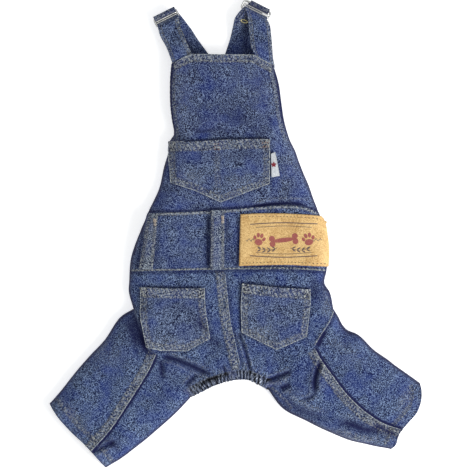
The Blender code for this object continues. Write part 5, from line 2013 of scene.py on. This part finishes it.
@dataclass
class Print:
    """Flat printed shapes lying on the patch, joined in one mesh."""

    name: str
    ink: Ink
    lift: float
    marks: list[Array] = field(default_factory=list)
    faces: list[list[int]] = field(default_factory=list)
    count: int = 0

    def fan(self, outline: Array) -> None:
        """Adds a filled shape from rings that shrink to its middle."""
        middle = outline.mean(axis=0)
        rings = [middle + (outline - middle) * share for share in (1.0, 0.66, 0.33)]
        size = len(outline)
        self.marks.append(np.vstack((*rings, middle)))
        for ring in range(2):
            for k in range(size):
                n = (k + 1) % size
                a = self.count + ring * size
                self.faces.append([a + k, a + size + k, a + size + n, a + n])
        for k in range(size):
            a = self.count + 2 * size
            self.faces.append([a + k, self.count + 3 * size, a + (k + 1) % size])
        self.count += 3 * size + 1

    def oval(self, mark: Mark, wide: float, tall: float, turn_deg: float = 0.0) -> None:
        """Adds an oval.

        Args:
            mark: its middle.
            wide: half its width in drawing units.
            tall: half its height.
            turn_deg: its turn.
        """
        angle = np.linspace(0, math.tau, 17)[:-1]
        u, v = turned(wide * np.cos(angle), -tall * np.sin(angle), -turn_deg)
        self.fan(np.column_stack((mark[0] + u, mark[1] + v)))

    def dot(self, mark: Mark, size: float) -> None:
        """Adds a dot."""
        self.oval(mark, size, size)

    def paw(self, mark: Mark, size: float, turn_deg: float) -> None:
        """Adds a paw print: one pad and four toes.

        Args:
            mark: its middle.
            size: its size, with 1 for about 12 drawing units.
            turn_deg: its turn.
        """
        parts = ((0, 2.2, 4.0, 3.1, 0), (-4.6, -1.6, 1.5, 2.2, -24), (-1.8, -4.6, 1.6, 2.4, -8),
                 (1.8, -4.6, 1.6, 2.4, 8), (4.6, -1.6, 1.5, 2.2, 24))
        for x, y, wide, tall, lean in parts:
            u, v = turned(x, y, -turn_deg)
            self.oval((mark[0] + u * size, mark[1] + v * size), wide * size, tall * size, turn_deg + lean)

    def bone(self, mark: Mark, long: float, tall: float, turn_deg: float) -> None:
        """Adds a bone: a bar with two knobs at each end.

        Args:
            mark: its middle.
            long: its length in drawing units.
            tall: its height.
            turn_deg: its turn.
        """
        half, knob = long / 2, tall * 0.27
        self.oval(mark, half * 0.95, tall * 0.21, turn_deg)
        for x in (-half, half):
            for y in (-tall * 0.24, tall * 0.24):
                u, v = turned(x, y, -turn_deg)
                self.dot((mark[0] + u, mark[1] + v), knob)

    def stroke(self, marks: Marks, width: float) -> None:
        """Adds a thin line.

        Args:
            marks: the marks that it runs through.
            width: its width in drawing units.
        """
        points = np.array(marks, dtype=float)
        heading = np.gradient(points, axis=0)
        heading /= np.linalg.norm(heading, axis=1, keepdims=True)
        side = left_of(heading) * width / 2
        self.marks.append(np.vstack((points + side, points - side)))
        size = len(points)
        for a in range(self.count, self.count + size - 1):
            self.faces.append([a, a + 1, a + size + 1, a + size])
        self.count += 2 * size

    def sprig(self, start: Mark, way: int) -> None:
        """Adds a small sprig: a curved stem with leaves.

        Args:
            start: the stem's foot.
            way: 1 for a sprig to the right, and -1 for one to the left.
        """
        stem = [(start[0] + way * 2.4 * k, start[1] - 0.12 * (k - 4) ** 2 + 1.4) for k in range(9)]
        self.stroke(stem, 0.45)
        for k in (1, 3, 5, 7):
            for lean in (-1, 1):
                self.oval((stem[k][0] + way * 1.3, stem[k][1] + lean * 1.4), 1.9, 0.65, lean * 30 * way)

    def build(self) -> bpy.types.Object:
        """The joined mesh, laid on the patch."""
        points = np.column_stack(spot(np.vstack(self.marks).T))
        piece = add_mesh(self.name, LIE.upper(points, self.lift), self.faces, self.ink)
        report(piece)
        return piece


@dataclass
class SideTab:
    """The woven side tab at the chest pocket's right edge, with a small rosette."""

    lift: float = 0.0016
    wall: float = 0.0008
    left: Marks = ((270.8, 154.3), (271.4, 177.6))
    right: Marks = ((275.0, 152.4), (279.8, 176.1))

    def build(self) -> None:
        """Builds the tab and its rosette."""
        left, right = Line.drawn(self.left), Line.drawn(self.right)
        top, bottom = Line.drawn((self.left[0], self.right[0])), Line.drawn((self.left[1], self.right[1]))
        across, down = spread(0.006, 0.0004), spread(0.0175, 0.0005)
        plan = grid(left, right, top, bottom, across, down)
        s, t = across[None, :], down[:, None]
        lift = self.lift + 0.0003 * np.sin(t * 5.0) * s
        flat = plan.reshape(-1, 2)
        relief = Relief.plain(len(flat))
        relief.dark += np.broadcast_to(0.5 * hump(np.minimum(s, 1 - s) * 6, 0.5), lift.shape).reshape(-1)
        places = LIE.upper(flat, lift.reshape(-1))
        draft = Draft()
        draft.skin(draft.add(places.reshape(*plan.shape[:2], 3), relief))
        piece = draft.piece("woven_tab", TAPE, self.wall, slot=Slot.WOVEN)
        report(piece, "side_tab")
        rose = Print("tab_rosette", Ink("red thread", (136, 30, 44), (96, 30, 48)), self.lift + 0.0003)
        for k in range(5):
            angle = math.radians(90 + 72 * k)
            rose.oval((273.6 + 1.4 * math.cos(angle), 165.0 - 1.4 * math.sin(angle)), 1.25, 0.8,
                      -math.degrees(angle))
        rose.build()


@dataclass
class Strap:
    """One strap: a front strand from the bib, a wire slide, and a rear strand behind the bib."""

    side: str
    middle: Mark
    turn_deg: float
    front_left: Marks
    front_right: Marks
    rear_left: Marks
    rear_right: Marks
    pleats: float = 0.0
    bare: float = 0.0
    reach: float = 0.0003
    height: float = 0.0065
    bar_at: float = 0.0032
    wrap: float = 0.0020
    wall: float = 0.0011
    half: float = 0.0088
    shadow_at: float = 0.55
    slip: float = 0.0
    sink: float = 3.2

    def axes(self) -> tuple[Array, Array, Array]:
        """Middle, width direction and up direction of the slide in plan."""
        turn = math.radians(self.turn_deg)
        wide = np.array((math.cos(turn), math.sin(turn)))
        return np.array(spot(self.middle)), wide, np.array((-wide[1], wide[0]))

    @staticmethod
    def strand_plan(turn: Array, left: Marks, right: Marks, rows: Array, columns: Array,
                    rate: float) -> Array:
        """Plan of a strand between two edges, which leaves the roll's last row smoothly.

        Args:
            turn: the roll's last row.
            left: marks of the strand's left edge, away from the slide.
            right: marks of its right edge.
            rows: shares along the strand.
            columns: shares across it.
            rate: how many times the strand is as long as the blend.

        Returns:
            Plan points by row and column.
        """
        s = columns[None, :, None]
        plan = Line.drawn(left, 4).at(rows)[:, None] * (1 - s) + Line.drawn(right, 4).at(rows)[:, None] * s
        blend = ease(rows * rate)[:, None, None]
        return turn[None, :, :2] * (1 - blend) + plan * blend

    def wrapped(self, bar: float, first_deg: float, last_deg: float, columns: Array,
                count: int = 14) -> Array:
        """Rows of a wrap round a bar of the slide.

        Args:
            bar: place of the bar along the slide's up direction.
            first_deg: angle of the first row, 90 being on top.
            last_deg: angle of the last row.
            columns: shares across the strap.
            count: number of steps.

        Returns:
            Places by row and column.
        """
        middle, wide, up = self.axes()
        rows = []
        for angle in np.radians(np.linspace(first_deg, last_deg, count + 1)):
            plan = middle + up * (bar + self.wrap * math.cos(angle))
            plan = plan + wide * ((columns[:, None] * 2 - 1) * self.half)
            height = self.height + self.wrap * math.sin(angle)
            rows.append(np.column_stack((plan, np.full(len(columns), height))))
        return np.array(rows)

    def front(self) -> None:
        """The strand sewn to the bib, over the slide's lower bar and back under it."""
        up = self.axes()[2]
        columns = spread(self.half * 2, 0.0007)
        turn = self.wrapped(-self.bar_at, 90, -90, columns + self.slip)
        tail = turn[-1:] - np.append(up * 0.006, 0.0)
        rows = np.linspace(0, 1, 46)
        plan = self.strand_plan(turn[0], self.front_left, self.front_right, rows, columns, 5)
        landing = LIE.upper(plan[-1], -0.0002)[:, 2]
        t = rows[:, None]
        height = turn[0, :, 2][None] * (1 - ease(t * 1.1)) + landing[None] * ease(t * 1.1)
        height = height + 0.0006 * np.sin(t * 9 + columns[None] * 2) * tapered(t, 1 / 4)
        flat = plan.reshape(-1, 2)
        relief = Relief.plain(len(flat))
        for line, width, fade, lip in ((Line(plan[:, 0]), 0.0028, 0.3, 0.25),
                                       (Line(plan[:, -1]).back(), 0.0030, 0.35, 0.55)):
            band = Band(line, -0.001, width, 0.0, rope=0.00016, fade=fade, lip=lip, lip_at=0.0004)
            band.add(flat, relief)
        height = height + relief.height.reshape(height.shape)
        strand = np.concatenate((plan, height[..., None]), axis=-1)
        wrap_relief = Relief.plain(turn[..., 0].size)
        wrap_relief.fade += 0.25
        draft = Draft()
        draft.skin(np.concatenate((draft.add(tail), draft.add(turn[::-1], wrap_relief),
                                   draft.add(strand[1:], relief.below_first(len(rows))))))
        piece = draft.piece(f"strap_{self.side}_front", STRAP_DENIM, self.wall, -self.turn_deg, shift=0.23)
        report(piece, f"strap_front_{self.side}")
        for share in (0.15, 0.85):
            self.sew(strand, share, STITCHES)

    @staticmethod
    def sew(strand: Array, share: float, stitching: Stitching) -> None:
        """Adds a row of stitches along a strand.

        Args:
            strand: the strand's places by row and column.
            share: where the row lies across the strand.
            stitching: the joined stitches that it goes into.
        """
        column = min(strand.shape[1] - 2, max(1, round(share * (strand.shape[1] - 1))))
        path = strand[2:, column]
        runs = np.concatenate(([0.0], np.cumsum(np.linalg.norm(np.diff(path, axis=0), axis=1))))
        count = int(runs[-1] / stitching.pitch)
        arch = np.array((0.3, 0.85, 1, 1, 0.85, 0.3))
        rise = arc(ACROSS)[None] * arch[:, None] * stitching.width * 0.6 + 0.00005
        cells = []
        for middle in (np.arange(count) + 0.5) / count * runs[-1]:
            long = ALONG * stitching.length + middle
            line = np.stack([np.interp(long, runs, path[:, axis]) for axis in range(3)], axis=-1)
            heading = line[-1] - line[0]
            heading /= np.linalg.norm(heading)
            side = np.array((-heading[1], heading[0], 0.0))
            cell = line[:, None] + side * ACROSS[None, :, None] * stitching.width / 2
            cell[..., 2] += rise
            cells.append(cell)
        stitching.add(np.array(cells))

    def rear(self) -> None:
        """The strand round the slide's upper bar and down behind the bib."""
        columns = spread(self.half * 2, 0.0006)
        covered = self.bare + (1 + self.slip / 3 - self.bare) * columns
        turn = self.wrapped(self.bar_at, 190, -90, covered, 20)
        rows = np.linspace(0, 1, 50)
        plan = self.strand_plan(turn[-1], self.rear_left, self.rear_right, rows, columns, 6)
        t, s = rows[:, None], columns[None]
        drop = self.height - self.wrap - 0.0014
        fan = np.sin(s * math.tau * 5.0 + 0.9)
        dying = 1 - ease((t - 0.15) * 6)
        bulge = hump(s - 0.12, 0.24) * ease((t - 0.04) * 12) * (1 - ease((t - 0.22) * 4))
        height = 0.0014 + drop * (1 - ease(t * self.sink)) + 0.0004 * np.sin(t * 7 + s * 3) * ease(t * 4)
        height = height + self.pleats * (1.4 * fan * dying * ease(t * 30) + 3.4 * bulge)
        flat = plan.reshape(-1, 2)
        relief = Relief.plain(len(flat))
        for line in (Line(plan[:, 0]), Line(plan[:, -1]).back()):
            band = Band(line, -0.001, 0.0026, 0.0, rope=0.00012, fade=0.25, lip=0.35, lip_at=0.0004)
            band.add(flat, relief)
        # Painted shade in the pleats' valleys and painted highlight on their ridges where they bulge through
        # the slide; past the pleats, a painted shadow of the front strand at the shadow_at share.
        is_pleated = float(self.pleats > 0)
        relief.dark += (np.maximum(0, -fan - 0.2) * is_pleated * dying * 1.8).reshape(-1)
        relief.fade += ((0.8 + np.maximum(0, fan)) * is_pleated * dying * 1.6).reshape(-1)
        relief.dark += (hump(s - self.shadow_at, 0.13) * ease((t - 0.15) * 6) * 0.9).reshape(-1)
        strand = np.concatenate((plan, np.maximum(height, 0.0012)[..., None]), axis=-1)
        # The roll round the bar is painted darker as shade: all over, more where pleated, at its two ends and
        # in a band near its first rows.
        roll = Relief.plain(turn[..., 0].size)
        ends = hump(np.minimum(columns, 1 - columns) * self.half * 2, 0.0008)[None]
        crown = hump(np.linspace(0, 1, len(turn))[:, None] - 0.08, 0.10)
        roll.dark += (0.25 + 0.35 * is_pleated + 0.6 * ends + 0.9 * crown).reshape(-1)
        roll.fade += 0.55
        draft = Draft()
        draft.skin(np.concatenate((draft.add(turn, roll),
                                   draft.add(strand[1:], relief.below_first(len(rows))))), True)
        piece = draft.piece(f"strap_{self.side}_rear", STRAP_DENIM, self.wall, -self.turn_deg, shift=0.37)
        report(piece, f"strap_rear_{self.side}")

    def slide(self) -> None:
        """The wire slide: a rounded frame with a double bar across its middle."""
        middle, wide, up = self.axes()
        reach, tall, bend = self.half + self.reach, self.bar_at, 0.0016
        frame_path = []
        for x, y, start in ((1, 1, 0), (-1, 1, 90), (-1, -1, 180), (1, -1, 270)):
            for angle in np.radians(np.linspace(start, start + 90, 9)):
                across, along = x * (reach - bend), y * (tall - bend)
                frame_path.append(middle + wide * (across + bend * math.cos(angle))
                                  + up * (along + bend * math.sin(angle)))
        path = np.array(frame_path)
        ahead = np.roll(path, -1, axis=0) - np.roll(path, 1, axis=0)
        wires = Wires(self.height)
        wires.add(path, left_of(ahead / np.linalg.norm(ahead, axis=1, keepdims=True)), 0.0007, 0.9)
        for offset in (-0.00074, 0.00074):
            bar = middle + wide * np.linspace(-reach, reach, 12)[:, None] + up * offset
            wires.add(bar, np.tile(up, (len(bar), 1)), 0.00052, 0.5, False)
        report(wires.build(f"slide_{self.side}", NICKEL), f"slider_{self.side}")

    def build(self) -> None:
        """Builds the strap's three pieces."""
        self.rear()
        self.slide()
        self.front()


@dataclass
class Wires:
    """Round wires bent in plan, gathered into one mesh, with painted shade on their sides and undersides
    below the crown.
    """

    height: float
    ring: int = 10
    places: list[tuple[float, float, float]] = field(default_factory=list)
    darks: list[float] = field(default_factory=list)
    faces: list[list[int]] = field(default_factory=list)

    def add(self, path: Array, side: Array, radius: float, shine: float, closed: bool = True) -> None:
        """Adds a wire.

        Args:
            path: plan points of its middle.
            side: unit directions across it, one for each point.
            radius: its radius in metres.
            shine: sine of the angle round the wire above which it keeps its plating colour; below it the wire
                is painted dark as shade.
            closed: whether it runs round into itself.
        """
        first, size, ring = len(self.places), len(path), self.ring
        for point, out in zip(path, side):
            for angle in np.linspace(0, math.tau, ring + 1)[:-1]:
                plan = point + out * radius * math.cos(angle)
                self.places.append((*plan, self.height + radius * math.sin(angle)))
                # Painted shade: the wire below its crown takes the metal's dark colour.
                self.darks.append(0.0 if math.sin(angle) > shine else 1.0)
        for k in range(size if closed else size - 1):
            here, there = first + k * ring, first + (k + 1) % size * ring
            for j in range(ring):
                m = (j + 1) % ring
                self.faces.append([here + j, there + j, there + m, here + m])
        if not closed:
            self.faces.append(list(range(first, first + ring)))
            self.faces.append(list(reversed(range(first + (size - 1) * ring, first + size * ring))))

    def build(self, name: str, finish: Metal) -> bpy.types.Object:
        """The joined mesh of the wires."""
        values = {"dark": np.array(self.darks)}
        return add_mesh(name, np.array(self.places), self.faces, finish, values)


@dataclass
class BrassStay:
    """The small brass staple that holds the pleats of the right rear strand."""

    mark: Mark = (244.2, 21.2)
    wide: float = 0.0026
    tall: float = 0.0010
    wire: float = 0.00036
    height: float = 0.0075
    lean_deg: float = -16.0

    def build(self) -> None:
        """Builds the staple as a closed oval wire."""
        lean = math.radians(self.lean_deg)
        along, up = np.array((math.cos(lean), math.sin(lean))), np.array((-math.sin(lean), math.cos(lean)))
        angles = np.linspace(0, math.tau, 29)[:-1, None]
        x, y = np.cos(angles), np.sin(angles)
        path = np.array(spot(self.mark)) + along * self.wide * x + up * self.tall * y
        wires = Wires(self.height, 8)
        wires.add(path, along * x + up * y, self.wire, 0.3)
        report(wires.build("brass_stay", BRASS))


@dataclass
class BarTack:
    """A close row of threads sewn across a loop or a pocket's corner."""

    start: Mark
    end: Mark
    lift: float
    stitching: Stitching

    def build(self) -> None:
        """Adds the threads to their joined mesh."""
        line = Line.drawn((self.start, self.end))
        count = max(3, int(line.length / self.stitching.pitch))
        middles = line.at((np.arange(count) + 0.5) / count)
        heading = line.heading(np.array([0.5]))
        ahead, side = heading[0], left_of(heading)[0]
        cells = np.zeros((count, *STITCH, 2))
        for i, share in enumerate(ALONG):
            for j, across in enumerate(ACROSS):
                lean = ahead * (share * 0.0006 + across * 0.00025)
                cells[:, i, j] = middles + side * share * self.stitching.length + lean
        arch = np.array((0.2, 0.85, 1, 1, 0.85, 0.2))
        rise = np.broadcast_to(arch[:, None] * arc(ACROSS)[None] * 0.0003, (count, *STITCH))
        places = LIE.upper(cells.reshape(-1, 2), self.lift + rise.reshape(-1))
        self.stitching.add(places.reshape(count, *STITCH, 3)[:, ::-1])


@dataclass
class Studio:
    """The pale floor, the soft lights and the camera straight above."""

    height: float = 1.2
    lens: float = 121.6
    centre: Mark = (235.0, 235.0)

    def build(self) -> None:
        """Builds the floor, the lights and the camera."""
        self.floor()
        self.light("key", (0.85, -0.50, 0.62), 0.7, 15.0)
        self.light("fill", (-0.5, 0.5, 1.2), 1.2, 2.0)
        world = bpy.data.worlds.new("studio")
        world.use_nodes = True
        world.node_tree.nodes["Background"].inputs["Color"].default_value = (0.96, 0.98, 1.0, 1.0)
        world.node_tree.nodes["Background"].inputs["Strength"].default_value = 0.45
        bpy.context.scene.world = world
        bpy.context.scene.view_settings.view_transform = "Standard"
        data = bpy.data.cameras.new("camera")
        data.lens = self.lens
        data.sensor_width = 36.0
        data.clip_start = 0.01
        camera = bpy.data.objects.new("camera", data)
        x, y = spot(self.centre)
        camera.location = (x, y, self.height)
        bpy.context.scene.collection.objects.link(camera)
        bpy.context.scene.camera = camera

    def floor(self) -> None:
        """Builds the floor as a wide sheet that dips a little at its far edges."""
        steps = np.linspace(-1.6, 1.6, 33)
        x, y = np.meshgrid(steps, steps)
        z = -0.0004 - 0.02 * np.maximum(0, np.hypot(x, y) - 1.0) ** 2
        places = np.stack((x, y, z), axis=-1).reshape(-1, 3)
        index = np.arange(len(places)).reshape(len(steps), len(steps))
        mesh = bpy.data.meshes.new("floor")
        mesh.from_pydata(places.tolist(), [], quads_of(index.T).tolist())
        mesh.shade_smooth()
        mesh.materials.append(PaleFloor("pale floor").material())
        floor = bpy.data.objects.new("floor", mesh)
        bpy.context.scene.collection.objects.link(floor)

    @staticmethod
    def light(name: str, place: Sequence[float], size: float, power: float) -> None:
        """Adds a soft light that points at the garment.

        Args:
            name: the light's name.
            place: where it hangs, in metres.
            size: side of its panel in metres.
            power: its power in watts.
        """
        data = bpy.data.lights.new(name, "AREA")
        data.size = size
        data.energy = power
        lamp = bpy.data.objects.new(name, data)
        lamp.location = place
        lamp.rotation_euler = (-Vector(place)).to_track_quat("-Z", "Y").to_euler()
        bpy.context.scene.collection.objects.link(lamp)


def assemblies() -> list[object]:
    """The garment's sub-assemblies in the order in which they are built."""
    seat_left = SeatAndLeg(
        "left", False, BODY_LEFT, GROIN_LEFT, TAIL_SEAM_LEFT, OUTER_LEFT, INNER_LEFT,
        ((48.9, 403.9), (60, 419), (72, 432), (85, 444), (96, 456), (105.7, 468.4)),
        ((157, 352), (150, 368), (138, 388), (125, 408), (110, 430), (89, 453)), -45.5, SEAT_PLAN_LEFT,
        area=0.0205)
    seat_right = SeatAndLeg(
        "right", True, BODY_RIGHT, GROIN_RIGHT, TAIL_SEAM_RIGHT[::-1], OUTER_RIGHT, INNER_RIGHT,
        ((391, 450), (396, 444), (398.5, 434), (406, 424), (416, 412.5), (420.5, 401), (421.5, 391),
         (420.5, 383.1)),
        ((314, 347), (322, 361), (330, 372), (345, 392), (360, 407), (372, 416), (384, 423), (402, 429)),
        57.0, SEAT_PLAN_RIGHT, area=0.0205)
    chest = PatchPocket(
        "chest_pocket_cloth", "chest_pocket", CHEST_PLAN, 0.0071, "bib", (0.078, 0.048), 0.0031,
        extra=(Groove(Line.drawn(((215, 143), (215.4, 170), (217, 198))), 0.0003, 0.0007, dark=0.35),
               Groove(Line.drawn(((218.6, 143), (219, 170), (220.6, 198))), 0.0003, 0.0007, dark=0.35),
               Blotch((217, 170), 0.0020, 0.022, fade=0.22), Blotch((240, 155), 0.016, 0.005, dark=0.5),
               Blotch((185, 178), 0.012, 0.006, fade=0.22), Blotch((180, 158), 0.006, 0.006, dark=0.35),
               Blotch((245, 182), 0.014, 0.005, fade=0.15), Blotch((258, 166), 0.007, 0.010, dark=0.2),
               Blotch((205, 158), 0.010, 0.006, dark=0.25)),
        tacks=(((261, 143.4), (269, 143.0)), ((262, 147.2), (269, 147.0)), ((214.6, 143), (214.8, 151)),
               ((218.4, 143), (218.6, 151))))
    pocket_left = PatchPocket(
        "seat_pocket_cloth_left", "seat_pocket_left", SEAT_PLAN_LEFT, 0.0074, "seat_and_leg_left",
        (0.054, 0.049), 0.0023,
        extra=(Blotch((178, 306), 0.018, 0.004, dark=0.45), Blotch((200, 322), 0.006, 0.007, dark=0.6),
               Blotch((165, 342), 0.016, 0.004, fade=0.2), Blotch((188, 326), 0.010, 0.008, dark=0.3),
               crease(((196, 320), (203, 326), (209, 331)), 0.7, 1.2, 0.7)))
    pocket_right = PatchPocket(
        "seat_pocket_cloth_right", "seat_pocket_right", SEAT_PLAN_RIGHT, 0.0074, "seat_and_leg_right",
        (0.054, 0.050), 0.0024,
        extra=(Blotch((284, 304), 0.016, 0.006, dark=0.3), Blotch((262, 333), 0.010, 0.006, fade=0.2),
               Blotch((250, 300), 0.006, 0.008, fade=0.15)))
    left = Strap(
        "left", (166.4, 17.6), 26.5,
        ((156.5, 24.5), (158, 29), (160.7, 37.3), (166.4, 47.7), (172.0, 62.5), (173.4, 66.0)),
        ((176.5, 14.0), (178.5, 20), (181, 28), (186.7, 42.5), (191.6, 54.0), (193.0, 57.5)),
        ((156.6, 24), (161.5, 33), (174, 46), (189.3, 68.2)),
        ((178.6, 11.0), (182.9, 17.5), (190.8, 27.8), (198, 39.0), (208.5, 53.5), (217.5, 68.2)))
    right = Strap(
        "right", (256.0, 9.9), -26.5,
        ((246.5, 8.0), (248.2, 20), (250.3, 40), (251.5, 48), (254.6, 55.0), (253.5, 59.0)),
        ((267.3, 17.0), (270, 24), (272, 42.5), (273, 57.0), (274.6, 65.0), (274.4, 69.0)),
        ((239.5, 9.0), (236.6, 16), (232.6, 28), (229, 41), (223.6, 57), (219.2, 68.2)),
        ((257, 8), (255, 18), (256, 34), (257.5, 52), (255, 68.2)), pleats=0.0008, bare=0.14, reach=0.0021,
        shadow_at=0.62, slip=0.08, sink=1.9)
    return [
        Belly(), Bib(), Waistband(), seat_left, seat_right, TailHem(), chest, pocket_left, pocket_right,
        BeltLoop("belt_loop_cloth_left", "belt_loop_left", ((151.0, 214.5), (139.6, 268.8)),
                 ((159.6, 214.3), (153.2, 269.2)), ((156.6, 219.5), (156.2, 232))),
        BeltLoop("belt_loop_cloth_centre", "belt_loop_centre", ((211.0, 210.4), (210.2, 269.5)),
                 ((224.6, 210.2), (224.3, 269.3)), ((222.6, 216), (222.8, 226))),
        LeatherPatch(), SideTab(), left, right, BrassStay(),
    ]


def main() -> None:
    """Builds every sub-assembly in order, and reports each piece."""
    logging.basicConfig(level=logging.INFO, format="%(name)s: %(message)s")
    for part in assemblies():
        part.build()
    for joined in (STITCHES, PALE_STITCHES, LIGHT_STITCHES, DARK_STITCHES, BAR_TACKS, RUST_TACKS, EDGES):
        joined.build()
    Studio().build()


if __name__ == "__main__":
    main()
